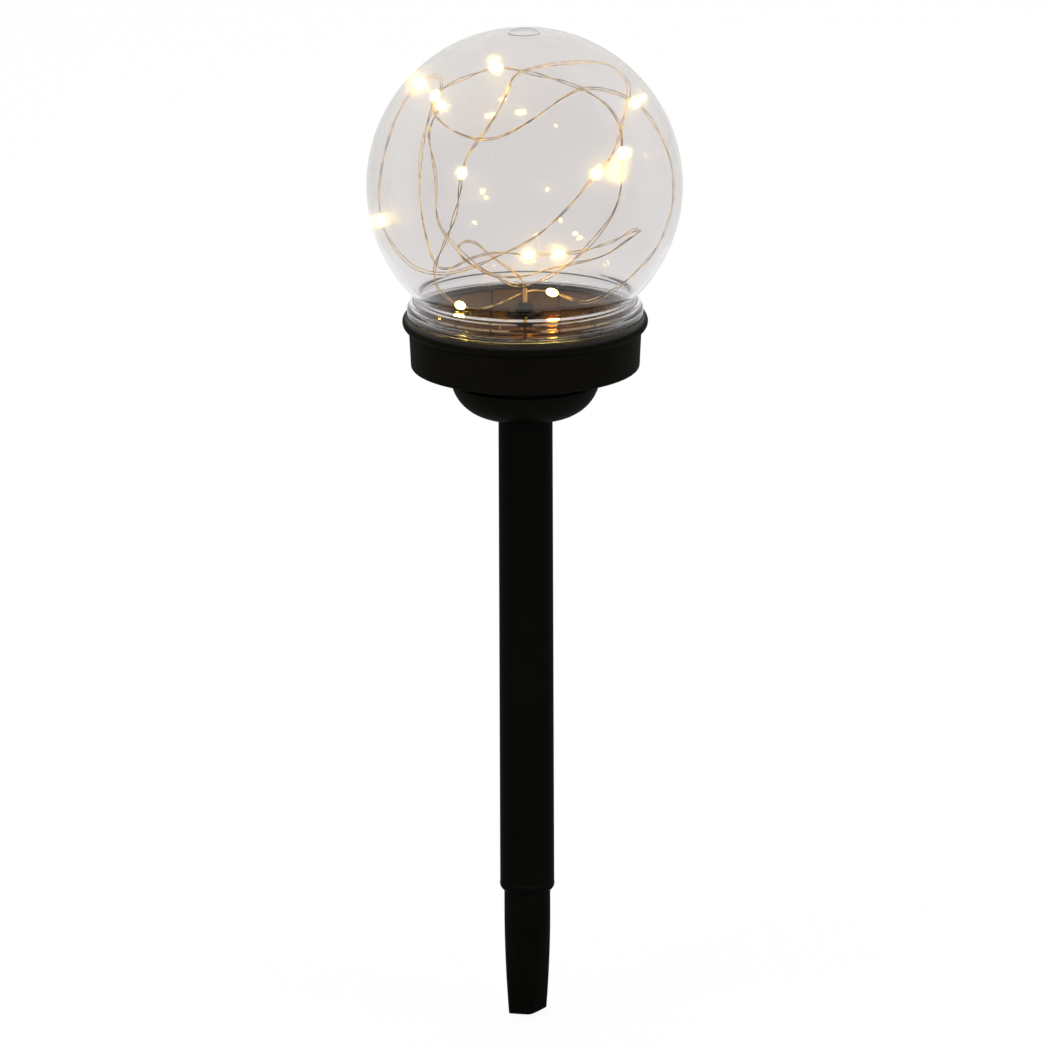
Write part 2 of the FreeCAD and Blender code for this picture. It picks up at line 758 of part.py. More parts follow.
def mould_mark():
    """The low ring that the mould leaves on the crown of the ball."""
    inner = mould_mark_radius - mould_mark_width
    surface_z = globe_z + math.sqrt(globe_radius ** 2 - mould_mark_radius ** 2)
    bottom = surface_z - globe_wall / 2
    return ring(mould_mark_radius, inner, bottom, surface_z + mould_mark_height)


def globe():
    """The clear ball with its neck, flange, skirt and lugs, moulded in one."""
    inner_radius = globe_radius - globe_wall

    def ball_point(radius, across):
        return side_point(across, globe_z - math.sqrt(radius ** 2 - across ** 2))

    top = side_point(0, globe_z + globe_radius)
    widest = side_point(globe_radius, globe_z)
    neck = ball_point(globe_radius, neck_radius)
    groove = side_point(groove_radius, flange_z + groove_above_flange)
    crown = side_point(flange_crown_radius, flange_z + flange_crown_height)
    edge_top = side_point(flange_radius, flange_z + flange_edge)
    edge_low = side_point(flange_radius, flange_z)
    skirt_top = side_point(skirt_radius, flange_z)
    skirt_low = side_point(skirt_radius, skirt_bottom_z)
    skirt_in = side_point(skirt_inner_radius, skirt_bottom_z)
    throat = ball_point(inner_radius, skirt_inner_radius)
    inner_widest = side_point(inner_radius, globe_z)
    inner_top = side_point(0, globe_z + inner_radius)
    ball = turned([
        arc(top, widest, neck), line(neck, groove), arc(groove, crown, edge_top),
        line(edge_top, edge_low), line(edge_low, skirt_top), line(skirt_top, skirt_low),
        line(skirt_low, skirt_in), line(skirt_in, throat), arc(throat, inner_widest, inner_top),
        line(inner_top, top),
    ])
    bottom, lug_top = lug_levels()
    bite = skirt_wall / 2
    for number in range(lug_count):
        middle = whole_turn / lug_count * number
        ball = ball.fuse(arc_sector(
            skirt_radius + lug_projection, skirt_radius - bite, bottom, lug_top,
            middle - lug_arc / 2, lug_arc,
        ))
    return ball.removeSplitter().fuse(mould_mark())


def route_points():
    """The string's route: straight up through the sleeve, then the points chosen above."""
    start = Vector(0, 0, sleeve_bottom_z)
    bend = Vector(0, 0, sleeve_bottom_z + wire_start_run)
    return [start, bend] + [Vector(*point) for point in wire_route]


def light_places(points, middles):
    """Where each light sits on the wire, and the wire's direction there."""
    lead = len(points) - len(wire_route)
    places = []
    for number in lit_point_counts:
        index = number + lead
        if index == len(points) - 1:
            way = (points[index] - points[index - 1]).normalize()
            places.append((points[index] - way * (bead_length / 2), way))
        else:
            way = (points[index + 1] - points[index - 1]).normalize()
            places.append((middles[index - 1], way))
    return places


def aim(shape, way, at):
    """Turns a shape that lies along Z to lie along this direction, and moves it there."""
    turn = FreeCAD.Rotation(up, way)
    shape.Placement = FreeCAD.Placement(at, turn)
    return shape


def light_bead(at, way):
    """A clear drop on the wire, widest in its middle."""
    half = bead_length / 2
    low = side_point(0, -half)
    wide = side_point(bead_thickness / 2, 0)
    high = side_point(0, half)
    drop = turned([arc(low, wide, high), line(high, low)])
    return aim(drop, way, at)


def light_chip(at, way):
    """The small chip beside the wire, inside its drop."""
    low = wire_radius + chip_standoff
    chip = block(
        -chip_width / 2, chip_width / 2, low, low + chip_height,
        -chip_length / 2, chip_length / 2,
    )
    return aim(chip, way, at)


def battery_ends():
    """The x of the holder's inner end, the cell's minus end, its shoulder and its tip."""
    inner_end = holder_inner_length / 2
    minus = -inner_end + contact_thickness + spring_length
    shoulder = minus + cell_body_length
    return inner_end, minus, shoulder, shoulder + cap_length


def lying(radius, start, end, y, z):
    """A cylinder along X."""
    return Part.makeCylinder(radius, end - start, Vector(start, y, z), Vector(1, 0, 0))


def battery_holder():
    """An open tray with a round bed for the cell."""
    inner_end = battery_ends()[0]
    half_width = holder_inner_half_width
    tray = block(
        -holder_half_length, holder_half_length,
        holder_centre_y - holder_half_width, holder_centre_y + holder_half_width,
        floor_z, floor_z + holder_height,
    )
    bed = lying(half_width, -inner_end, inner_end, holder_centre_y, cell_axis_z)
    mouth = block(
        -inner_end, inner_end, holder_centre_y - half_width, holder_centre_y + half_width,
        cell_axis_z, floor_z + holder_height + overrun,
    )
    ends = block(
        inner_end - contact_thickness, inner_end,
        holder_centre_y - contact_width / 2, holder_centre_y + contact_width / 2,
        floor_z + holder_floor, floor_z + holder_height + overrun,
    )
    back = ends.mirror(Vector(0, 0, 0), Vector(1, 0, 0))
    return tray.cut(bed).cut(mouth).cut(ends).cut(back)


def battery_cell():
    minus, shoulder = battery_ends()[1:3]
    return lying(cell_radius, minus, shoulder, holder_centre_y, cell_axis_z)


def battery_wrapper():
    minus, shoulder = battery_ends()[1:3]
    outer = lying(cell_wrapped_radius, minus, shoulder, holder_centre_y, cell_axis_z)
    return outer.cut(lying(cell_radius, minus, shoulder, holder_centre_y, cell_axis_z))


def battery_cap():
    shoulder, tip = battery_ends()[2:4]
    return lying(cap_radius, shoulder, tip, holder_centre_y, cell_axis_z)


def contact_plate(end):
    """A flat contact that stands at one end of the holder."""
    inner_end = battery_ends()[0]
    low, high = (inner_end - contact_thickness, inner_end) if end > 0 else (
        -inner_end, -inner_end + contact_thickness)
    return block(
        low, high, holder_centre_y - contact_width / 2, holder_centre_y + contact_width / 2,
        floor_z + holder_floor, floor_z + holder_height + contact_tab_height,
    )


def contact_spring():
    """The minus contact: a plate with a cone of spring wire that bears on the cell."""
    inner_end, minus = battery_ends()[:2]
    plate = contact_plate(-1)
    start_x = -inner_end + contact_thickness
    run = minus - start_x
    steps = spring_turn_count * 4
    points = []
    for step in range(steps + 1):
        share = step / steps
        radius = spring_big_radius + (spring_small_radius - spring_big_radius) * share
        angle = math.pi / 2 * step
        x = start_x + spring_wire_radius + (run - 2 * spring_wire_radius) * share
        points.append(Vector(
            x, holder_centre_y + radius * math.cos(angle), cell_axis_z + radius * math.sin(angle)))
    path = Part.BSplineCurve()
    path.interpolate(points)
    wire = Part.Wire(path.toShape())
    way = path.tangent(path.FirstParameter)[0]
    section = Part.Wire(Part.makeCircle(spring_wire_radius, points[0], way))
    coil = wire.makePipeShell([section], True, False)
    return [plate, coil]


def circuit_board():
    """The board on its two posts, with holes for its screws."""
    board = block(-board_side_x, board_side_x, board_near_y, board_far_y, board_z, board_top_z)
    for x, y in (board_post_near, board_post_far):
        radius = board_screw_radius + screw_hole_clearance
        board = board.cut(disc(radius, board_z - overrun, board_top_z + overrun, x, y))
    return board


def driver_chip():
    """A small black package with its legs on the board."""
    length, width, height = chip_body
    x, y = chip_place
    lift = chip_leg_thickness
    body = block(
        x - length / 2, x + length / 2, y - width / 2, y + width / 2,
        board_top_z + lift, board_top_z + height,
    )
    pitch = width / chip_leg_count
    for number in range(chip_leg_count):
        leg_y = y - width / 2 + pitch * (number + 0.5)
        body = body.fuse(block(
            x - length / 2 - chip_leg_reach, x + length / 2 + chip_leg_reach,
            leg_y - chip_leg_width / 2, leg_y + chip_leg_width / 2,
            board_top_z, board_top_z + lift,
        ))
    return body


def boost_inductor():
    """A wound drum with its two end wires, lying on the board."""
    x, y = inductor_place
    z = board_top_z + inductor_radius
    half = inductor_length / 2
    drum = Part.makeCylinder(inductor_radius, inductor_length, Vector(x, y - half, z), Vector(0, 1, 0))
    ends = Part.makeCylinder(
        inductor_end_radius, inductor_length + 2 * inductor_end_length,
        Vector(x, y - half - inductor_end_length, z), Vector(0, 1, 0))
    return drum.fuse(ends)


def board_capacitor():
    """A small can on the board, with the groove near its foot."""
    x, y = capacitor_place
    can = disc(capacitor_radius, board_top_z, board_top_z + capacitor_height, x, y)
    groove_z = board_top_z + capacitor_radius / 2
    groove = Part.makeTorus(capacitor_radius, capacitor_groove, Vector(x, y, groove_z), up)
    return can.cut(groove)


def switch_body():
    """The switch's frame under the board, open towards the floor."""
    half_length = switch_length / 2
    middle_x = -switch_travel / 2
    y = switch_centre_y
    bottom = floor_z + knob_clearance
    body = block(
        middle_x - half_length, middle_x + half_length,
        y - switch_width / 2, y + switch_width / 2, bottom, board_z,
    )
    room = block(
        -switch_travel - stem_length / 2 - knob_clearance, stem_length / 2 + knob_clearance,
        y - stem_width / 2 - knob_clearance, y + stem_width / 2 + knob_clearance,
        bottom - overrun, board_z - switch_wall,
    )
    return body.cut(room)


def switch_slider():
    """The knob under the cup, with ridges for a finger and its stem up into the switch."""
    y = switch_centre_y
    low = cup_bottom_z - knob_drop
    knob = block(
        -knob_length / 2, knob_length / 2, y - knob_width / 2, y + knob_width / 2, low, floor_z)
    stem = block(
        -stem_length / 2, stem_length / 2, y - stem_width / 2, y + stem_width / 2,
        floor_z, floor_z + stem_height,
    )
    pitch = knob_length / (ridge_count + 1)
    for number in range(ridge_count):
        x = -knob_length / 2 + pitch * (number + 1)
        knob = knob.cut(block(
            x - ridge_width / 2, x + ridge_width / 2, y - knob_width, y + knob_width,
            low - overrun, low + ridge_depth,
        ))
    return knob.fuse(stem).removeSplitter()


def string_leads():
    """The wire's tail, from the board up through the grommet to where the string starts."""
    x, y = string_lead_place
    points = [
        Vector(x, y, board_top_z), Vector(x, y, board_top_z + string_lead_rise),
        Vector(0, 0, board_top_z + string_lead_turn_rise), Vector(0, 0, sleeve_bottom_z),
    ]
    return tube(points, wire_radius)[0]


def panel_leads():
    """Two leads from the board up to the panel."""
    leads = []
    exits = panel_lead_holes()
    x, y = panel_lead_place
    for side, (hole_x, hole_y) in zip((-1, 1), exits):
        start_x = x + side * lead_spacing / 2
        points = [
            Vector(start_x, y, board_top_z), Vector(start_x, y, board_top_z + 2 * lead_spacing),
            Vector(hole_x, hole_y, deck_under_z - lead_spacing), Vector(hole_x, hole_y, deck_floor_z),
        ]
        leads.append(tube(points, lead_radius)[0])
    return leads


def battery_leads():
    """Two leads from the board's far end, round it, to the two contacts."""
    inner_end = battery_ends()[0]
    over_z = cell_axis_z + cell_wrapped_radius + 3 * lead_radius
    leads = []
    for side in (-1, 1):
        start_x = side * (board_side_x - 2 * lead_radius)
        end_x = side * (inner_end - contact_thickness / 2)
        start_y = board_near_y + 2 * lead_radius
        top_z = floor_z + holder_height + contact_tab_height
        points = [
            Vector(start_x, start_y, board_top_z), Vector(start_x, start_y, over_z),
            Vector(end_x, holder_centre_y + contact_width / 3, over_z),
            Vector(end_x, holder_centre_y + contact_width / 3, top_z),
        ]
        leads.append(tube(points, lead_radius)[0])
    return leads


def housing_screws():
    """The screws under the cup that hold the deck."""
    head_z = cup_bottom_z + screw_pocket_depth
    return [
        screw(
            housing_screw_radius, housing_screw_length, screw_head_radius, screw_head_height,
            Vector(at.x, at.y, head_z), False,
        )
        for at in fixing_places(housing_screw_circle, housing_screw_start)
    ]


def adapter_screws():
    """The screws inside the cup that hold the bowl."""
    return [
        screw(
            adapter_screw_radius, adapter_screw_length, screw_head_radius, screw_head_height,
            Vector(at.x, at.y, floor_z), True,
        )
        for at in fixing_places(adapter_screw_circle, adapter_screw_start)
    ]


def board_screws():
    """The screws that hold the board on its posts."""
    return [
        screw(
            board_screw_radius, board_screw_length, board_screw_head_radius,
            board_screw_head_height, Vector(x, y, board_top_z), True,
        )
        for x, y in (board_post_near, board_post_far)
    ]


def save(name, shape):
    """Writes one named piece, or a group of separate solids, and prints its volume."""
    if isinstance(shape, list):
        shape = Part.makeCompound(shape)
    valid = shape.isValid()
    print(name, "solids", len(shape.Solids), "volume", round(shape.Volume, 2), "valid", valid)
    shape.exportStep(os.path.join("parts", name + ".step"))


def main():
    os.makedirs("parts", exist_ok=True)
    save("ground_spike", ground_spike())
    save("pole_tube", pole_tube())
    save("pole_adapter", pole_adapter())
    save("housing_cup", housing_cup())
    save("deck_seal", deck_seal())
    save("panel_deck", panel_deck())
    save("panel_board", panel_board())
    cells = solar_cells()
    save("solar_cells", cells)
    save("panel_cover", panel_cover(cells))
    save("wire_grommet", wire_grommet())
    save("wire_sleeve", wire_sleeve())
    save("globe", globe())

    points = route_points()
    wire, middles, radii, length = tube(points, wire_radius)
    save("light_string_wire", wire)
    print("string length", round(length, 1), "volume over section times length",
          round(wire.Volume / (math.pi * wire_radius ** 2 * length), 4))
    print("arc radii", [round(radius, 1) for radius in radii])
    lights = light_places(points, middles)
    chips = [light_chip(at, way) for at, way in lights]
    save("light_chips", chips)
    beads = [
        light_bead(at, way).cut(wire).cut(chip)
        for (at, way), chip in zip(lights, chips)
    ]
    save("light_beads", beads)

    save("battery_holder", battery_holder())
    save("battery_cell", battery_cell())
    save("battery_wrapper", battery_wrapper())
    save("battery_cap", battery_cap())
    save("contact_plate", contact_plate(1))
    save("contact_spring", contact_spring())
    save("circuit_board", circuit_board())
    save("driver_chip", driver_chip())
    save("boost_inductor", boost_inductor())
    save("board_capacitor", board_capacitor())
    save("switch_body", switch_body())
    save("switch_slider", switch_slider())
    save("string_leads", string_leads())
    save("panel_leads", panel_leads())
    save("battery_leads", battery_leads())
    save("housing_screws", housing_screws())
    save("adapter_screws", adapter_screws())
    save("board_screws", board_screws())


main()
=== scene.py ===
import bpy
import bmesh
import math
import random
from mathutils import Matrix, Vector


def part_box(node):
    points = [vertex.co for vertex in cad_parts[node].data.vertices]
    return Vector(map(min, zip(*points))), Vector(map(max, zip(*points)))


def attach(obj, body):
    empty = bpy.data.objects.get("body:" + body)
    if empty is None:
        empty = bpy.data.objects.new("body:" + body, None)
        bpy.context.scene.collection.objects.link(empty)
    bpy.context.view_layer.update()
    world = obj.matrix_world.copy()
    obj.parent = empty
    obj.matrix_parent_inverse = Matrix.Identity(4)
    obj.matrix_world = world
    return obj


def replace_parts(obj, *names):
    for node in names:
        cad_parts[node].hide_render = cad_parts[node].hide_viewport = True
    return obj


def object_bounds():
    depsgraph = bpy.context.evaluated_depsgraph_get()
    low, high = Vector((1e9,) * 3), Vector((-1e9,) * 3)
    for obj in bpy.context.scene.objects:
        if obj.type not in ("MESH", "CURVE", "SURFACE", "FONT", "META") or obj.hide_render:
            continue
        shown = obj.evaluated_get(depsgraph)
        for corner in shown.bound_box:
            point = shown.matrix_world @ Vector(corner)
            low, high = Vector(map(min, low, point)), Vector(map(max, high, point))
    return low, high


# A garden spike light: a clear ball with a light string, on a black cup, a pole and a spike.
# The parts come from the frame; this script gives them their finishes and makes the ball,
# the light string and the studio. Lengths are in metres and angles in degrees.
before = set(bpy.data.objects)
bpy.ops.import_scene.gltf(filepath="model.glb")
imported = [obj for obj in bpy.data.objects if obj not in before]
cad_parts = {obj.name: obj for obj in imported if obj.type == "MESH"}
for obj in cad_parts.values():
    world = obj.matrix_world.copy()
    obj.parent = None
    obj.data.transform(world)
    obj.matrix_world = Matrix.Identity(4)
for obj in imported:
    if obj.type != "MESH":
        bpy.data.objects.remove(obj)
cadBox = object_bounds()
mm = 0.001
print("frame loaded")

# The camera, where the photograph was taken from
photoView = {
    "pixelsAcross": 1050,
    "pixelsPerMetre": 2633,
    "elevation": 15.0,
    "distance": 16.0,
    "lean": 0.215,  # the pole leans this much in the picture
    "aimX": -0.35 * mm,
    "aimZ": 143.35 * mm,
    "farthestSeen": 100.0,
}


def placeCamera(view):
    data = bpy.data.cameras.new("photoCamera")
    widthSeen = view["pixelsAcross"] / view["pixelsPerMetre"]
    data.lens = data.sensor_width * view["distance"] / widthSeen
    data.clip_end = view["farthestSeen"]
    camera = bpy.data.objects.new("photoCamera", data)
    bpy.context.scene.collection.objects.link(camera)
    height = math.radians(view["elevation"])
    back = Vector((0, -math.cos(height), math.sin(height)))
    turn = Matrix.Rotation(math.radians(90 - view["elevation"]), 4, "X")
    lean = Matrix.Rotation(math.radians(-view["lean"]), 4, "Z")
    aim = Vector((view["aimX"], 0, view["aimZ"]))
    camera.matrix_world = Matrix.Translation(aim + back * view["distance"]) @ turn @ lean
    bpy.context.scene.camera = camera


placeCamera(photoView)
bpy.context.scene.view_settings.view_transform = "Standard"


# Small helpers for meshes and materials
def addPiece(name, mesh, body, material=None):
    # Without a material, the piece keeps the one that its node tree has set
    piece = bpy.data.objects.new(name, mesh)
    bpy.context.scene.collection.objects.link(piece)
    if material is not None:
        mesh.materials.append(material)
    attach(piece, body)
    return piece


def newMaterial(name):
    material = bpy.data.materials.new(name)
    material.use_nodes = True
    tree = material.node_tree
    shader = tree.nodes["Principled BSDF"]
    return material, tree, shader


def addNode(tree, kind, **values):
    node = tree.nodes.new(kind)
    for key, value in values.items():
        setattr(node, key, value)
    return node


def objectPlaces(tree):
    return addNode(tree, "ShaderNodeTexCoord").outputs["Object"]


def noiseOf(tree, places, scale, detail=2):
    # The scale is in waves to the metre
    noise = addNode(tree, "ShaderNodeTexNoise")
    noise.inputs["Scale"].default_value = scale
    noise.inputs["Detail"].default_value = detail
    tree.links.new(places, noise.inputs["Vector"])
    return noise.outputs["Fac"]


noiseRange = (0.3, 0.7)  # nearly all of a noise pattern lies between these


def spread(tree, value, low, high):
    # Spreads a noise pattern over the range between low and high
    node = addNode(tree, "ShaderNodeMapRange")
    node.inputs["From Min"].default_value = noiseRange[0]
    node.inputs["From Max"].default_value = noiseRange[1]
    node.inputs["To Min"].default_value = low
    node.inputs["To Max"].default_value = high
    tree.links.new(value, node.inputs["Value"])
    return node.outputs["Result"]


def rampOf(tree, value, stops):
    ramp = addNode(tree, "ShaderNodeValToRGB")
    elements = ramp.color_ramp.elements
    while len(elements) < len(stops):
        elements.new(1.0)
    for element, (place, colour) in zip(elements, stops):
        element.position = place
        element.color = (*colour, 1)
    tree.links.new(value, ramp.inputs["Fac"])
    return ramp.outputs["Color"]


def bumpFrom(tree, shader, height, strength, depth):
    bump = addNode(tree, "ShaderNodeBump")
    bump.inputs["Strength"].default_value = strength
    bump.inputs["Distance"].default_value = depth
    tree.links.new(height, bump.inputs["Height"])
    tree.links.new(bump.outputs["Normal"], shader.inputs["Normal"])


# The wire's route inside the ball, the same points as the model's own, in millimetres
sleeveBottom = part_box("wire_sleeve")[0].z / mm
straightRise = 10.0
routeStart = [(0, 0, sleeveBottom), (0, 0, sleeveBottom + straightRise)]
routePoints = routeStart + [
    (-4.8, 1, 243), (-13.8, 3, 248.7), (-18.4, 5, 253.2), (-23.5, 4, 254), (-26, 0, 251.5),
    (-23, -4, 248), (-13.5, -6.5, 243.5), (-2, -6.5, 237.9), (8, -4.5, 240.9), (17.5, -8, 248.5),
    (24.9, -14, 257.3), (32, -20, 268), (35.5, -25, 277), (37, -30, 290), (36.6, -31.5, 297.2),
    (36.3, -28, 305.2), (34, -25.5, 310.4), (29.5, -20, 314.4), (20.5, -12, 318.1),
    (8, -10, 321.5), (-4, -13, 325.1), (-10.2, -12.5, 325.7), (-17.5, -14, 324),
    (-27.5, -17, 320.5), (-33.8, -19.5, 317), (-35, -25, 312), (-28.5, -32.5, 306.8),
    (-17.5, -42, 304.8), (-8, -44.5, 306.9), (3.5, -38, 312), (15, -30, 318.8), (22.5, -22, 320.3),
    (32.2, -14, 317), (41.5, -6, 310.7), (47, 0, 303.7), (52.8, 2, 293.2), (56.1, 3, 283.5),
    (56.8, 2, 275), (56.1, 1, 267), (54, 0, 259.3), (50.6, 1.5, 251.6), (46.6, 3.5, 245.4),
    (42, 7, 239.9), (36, 9, 233.6), (28, 7, 229.5), (22, 4, 228.8), (16, 7, 230.5),
    (10, 10.5, 232), (1, 4.5, 234.5), (-8, -6.2, 232.3), (-17, -14, 231.5), (-24.6, -20, 234.8),
    (-30, -23.5, 239.5), (-33.5, -24, 244), (-34.5, -27, 252), (-29.5, -36, 265),
    (-25.5, -43, 278), (-24.5, -45, 286), (-23.3, -44.5, 293.5), (-22, -40, 298),
    (-18.2, -34, 301.8), (-11.3, -28, 309.7), (-6.2, -20, 317.8), (-4, -8, 322.5), (8, 2, 323),
    (20.5, 9, 322.5), (29.3, 12, 321.8), (35.6, 11.5, 319.2), (39.8, 9.5, 314), (39.4, 8, 308),
    (37, 4, 299.5), (34.5, -2, 291.5), (31, -8, 287), (27.1, -12, 284.4), (20.7, -18, 277.6),
    (13.8, -22, 270.7), (3.7, -24, 262.1), (-8, -24, 256.3), (-17.5, -22, 251.2),
    (-27.5, -18, 247), (-35.5, -13.5, 245.8), (-42.7, -8.5, 246.9), (-48.4, -4, 251.6),
    (-52.9, -2, 258), (-55.1, -1, 263.9), (-55.6, 2, 275), (-53.5, 5, 288), (-48, 8, 304),
    (-39.9, 9.6, 315), (-32.5, 14.5, 317), (-31, 22.5, 310), (-35.5, 29, 300), (-39.5, 33.5, 284),
    (-40.5, 33.5, 268), (-39.5, 30, 256), (-37, 23.5, 246.5), (-34, 16, 240), (-28.5, 11.5, 240.5),
    (-20, 10, 246), (-10, 8, 248.5), (1.4, 8, 247.1), (12.4, 10, 247.1), (20.6, 12.5, 246.9),
    (29, 16.5, 248.4), (36, 22, 249.6), (41, 23.5, 252.5), (44.5, 20, 254), (43.5, 14.5, 254),
    (38.3, 11.4, 251.4), (31, 6.5, 247.1), (20.5, 3, 245.4), (9, 5, 242.5), (-0.5, 9, 238),
    (-13, 5, 239.5), (-21.5, 5, 246), (-28, 7, 252.5), (-32.5, 11.5, 257.5), (-34, 16, 263),
    (-33.5, 21, 272), (-35, 22.5, 281.5), (-37, 20.5, 291.5), (-33.5, 14.5, 302),
    (-30.6, 7, 306.9),
]
# The points that carry a light, counted from the first point after the straight start
litPoints = [14, 21, 24, 33, 47, 51, 58, 73, 84, 88, 100, 101, 122]

lightString = {
    "diameter": 1.2 * mm,
    "strandRadius": 0.19 * mm,
    # Half the distance between the strands: it wavers, and closes up in the sleeve and the drops
    "halfGap": 0.42 * mm,
    "halfGapSpread": 0.22 * mm,
    "longWave": 19 * mm,
    "shortWave": 6.7 * mm,
    "shortWaveShare": 0.6,
    "gapInSleeve": 0.3 * mm,
    "sleeveReach": 9 * mm,
    "gapInDrop": 0.22 * mm,
    "dropReach": 2.8 * mm,
    # One turn of the strands about each other, now quicker and now slower
    "turnLength": 46 * mm,
    "turnWave": 27 * mm,
    "turnSpread": 0.7,
    "ringStep": 1.3 * mm,
    "sides": 7,
    "seed": 11,
    "curveSteps": 12,
    # The finish of the copper. Its bright and brown patches are partly its own uneven tone and partly painted
    # golden highlight
    "toneAndGlintScale": 260,
    "toneAndGlintColours": [(0.4, (0.24, 0.15, 0.07)), (0.62, (0.95, 0.74, 0.32))],
    "roughness": (0.26, 0.4),
    "grainScale": 2600,
    "grainBump": 0.15,
    "grainDepth": 0.05 * mm,
}


def routeCurve(points, steps):
    # A smooth line with these control points, read back as closely spaced points
    data = bpy.data.curves.new("routeLine", "CURVE")
    data.dimensions = "3D"
    data.resolution_u = steps
    spline = data.splines.new("NURBS")
    spline.points.add(len(points) - 1)
    for point, (x, y, z) in zip(spline.points, points):
        point.co = (x * mm, y * mm, z * mm, 1)
    spline.order_u = 3
    spline.use_endpoint_u = True
    carrier = bpy.data.objects.new("routeLine", data)
    bpy.context.scene.collection.objects.link(carrier)
    bpy.context.view_layer.update()
    seen = carrier.evaluated_get(bpy.context.evaluated_depsgraph_get())
    line = bpy.data.meshes.new_from_object(seen)
    places = [v.co.copy() for v in line.vertices]
    bpy.data.objects.remove(carrier)
    bpy.data.curves.remove(data)
    bpy.data.meshes.remove(line)
    return places


roundingSlack = 1e-12


def evenPoints(places, step):
    # The same line with points at one distance from each other, and its length
    total = sum((b - a).length for a, b in zip(places, places[1:]))
    count = max(2, round(total / step))
    spacing = total / count
    even = [places[0]]
    walked = 0.0
    for a, b in zip(places, places[1:]):
        run = (b - a).length
        while walked + run >= spacing * len(even) - roundingSlack and len(even) <= count:
            share = (spacing * len(even) - walked) / run
            even.append(a.lerp(b, min(share, 1)))
        walked += run
    return even, total


def carriedFrames(places):
    # A side direction at each point that never spins about the line
    ways = [(b - a).normalized() for a, b in zip(places, places[1:])]
    ways.append(ways[-1])
    side = ways[0].orthogonal().normalized()
    sides = []
    for way in ways:
        side = (side - way * side.dot(way)).normalized()
        sides.append(side)
    return ways, sides


def strandMesh(places, values, drops):
    # Two thin strands beside each other that turn slowly about their common line
    rng = random.Random(values["seed"])
    ways, sides = carriedFrames(places)
    spacing = (places[1] - places[0]).length
    longPhase, shortPhase, turnPhase = [rng.uniform(0, math.tau) for _ in range(3)]
    shortShare = values["shortWaveShare"]
    turn = 0.0
    mesh = bmesh.new()
    rings = [[], []]
    for number, (place, way, side) in enumerate(zip(places, ways, sides)):
        along = number * spacing
        longWaver = math.sin(along / values["longWave"] + longPhase)
        shortWaver = math.sin(along / values["shortWave"] + shortPhase)
        waver = (longWaver + shortShare * shortWaver) / (1 + shortShare)
        gap = values["halfGap"] + values["halfGapSpread"] * waver
        nearDrop = max(math.exp(-((place - at).length / values["dropReach"]) ** 2) for at, _ in drops)
        gap += (values["gapInDrop"] - gap) * nearDrop
        inSleeve = math.exp(-(along / values["sleeveReach"]) ** 4)
        gap += (values["gapInSleeve"] - gap) * inSleeve
        haste = 1 + values["turnSpread"] * math.sin(along / values["turnWave"] + turnPhase)
        turn += math.tau * spacing / values["turnLength"] * haste
        other = way.cross(side)
        for strand in (0, 1):
            angle = turn + math.pi * strand
            centre = place + (side * math.cos(angle) + other * math.sin(angle)) * gap
            ring = []
            for corner in range(values["sides"]):
                around = math.tau * corner / values["sides"]
                offset = side * math.cos(around) + other * math.sin(around)
                ring.append(mesh.verts.new(centre + offset * values["strandRadius"]))
            rings[strand].append(ring)
    for strand in rings:
        for low, high in zip(strand, strand[1:]):
            for corner in range(values["sides"]):
                after = (corner + 1) % values["sides"]
                mesh.faces.new((low[corner], low[after], high[after], high[corner]))
        mesh.faces.new(list(reversed(strand[0])))
        mesh.faces.new(strand[-1])
    bmesh.ops.recalc_face_normals(mesh, faces=mesh.faces)
    data = bpy.data.meshes.new("lightStrands")
    mesh.to_mesh(data)
    mesh.free()
    data.shade_smooth()
    return data


def copperMaterial(values):
    # Bare copper under a thin lacquer, brown in some places and bright in others: the brown is its own uneven
    # tone, and the bright patches are partly painted golden highlight standing in for lit stretches of wire
    material, tree, shader = newMaterial("lacqueredCopper")
    shader.inputs["Metallic"].default_value = 1.0
    places = objectPlaces(tree)
    copperToneAndGlints = noiseOf(tree, places, values["toneAndGlintScale"], detail=3)
    # Painted highlight: the bright gold end of this ramp stands in for glints along the wire, mixed with the
    # copper's own uneven tone
    tree.links.new(rampOf(tree, copperToneAndGlints, values["toneAndGlintColours"]), shader.inputs["Base Color"])
    tree.links.new(spread(tree, copperToneAndGlints, *values["roughness"]), shader.inputs["Roughness"])
    grain = noiseOf(tree, places, values["grainScale"], detail=1)
    bumpFrom(tree, shader, grain, values["grainBump"], values["grainDepth"])
    return material


# A light: a drop of amber epoxy with a hot core. The glow's stops go by the distance from
# the drop's middle, where 0.5 is its end
lightDrop = {
    "length": 5.0 * mm,
    "width": 3.0 * mm,
    "coreShare": 0.62,
    "sizeSpread": 0.12,
    "segments": 20,
    "rings": 14,
    "seed": 5,
    "wayRings": 2,  # rings of the strands on each side that give the drop's direction
    "endRings": 4,  # a light within this many rings of the wire's end sits on the end
    "shellColour": (1.0, 0.80, 0.46),
    "shellIor": 1.3,
    "shellGlow": 40.0,
    "shellStops": [(0.12, (1.0, 0.69, 0.17)), (0.48, (0.06, 0.041, 0.009))],
    "shellGrain": 500,
    "shellRoughness": (0.2, 0.34),
    "shellShadow": (1.0, 0.92, 0.75),
    "coreColour": (0.9, 0.82, 0.6),
    "coreGlow": 1800.0,
    "coreStops": [(0.1, (1.0, 0.79, 0.26)), (0.5, (0.3, 0.215, 0.06))],
}


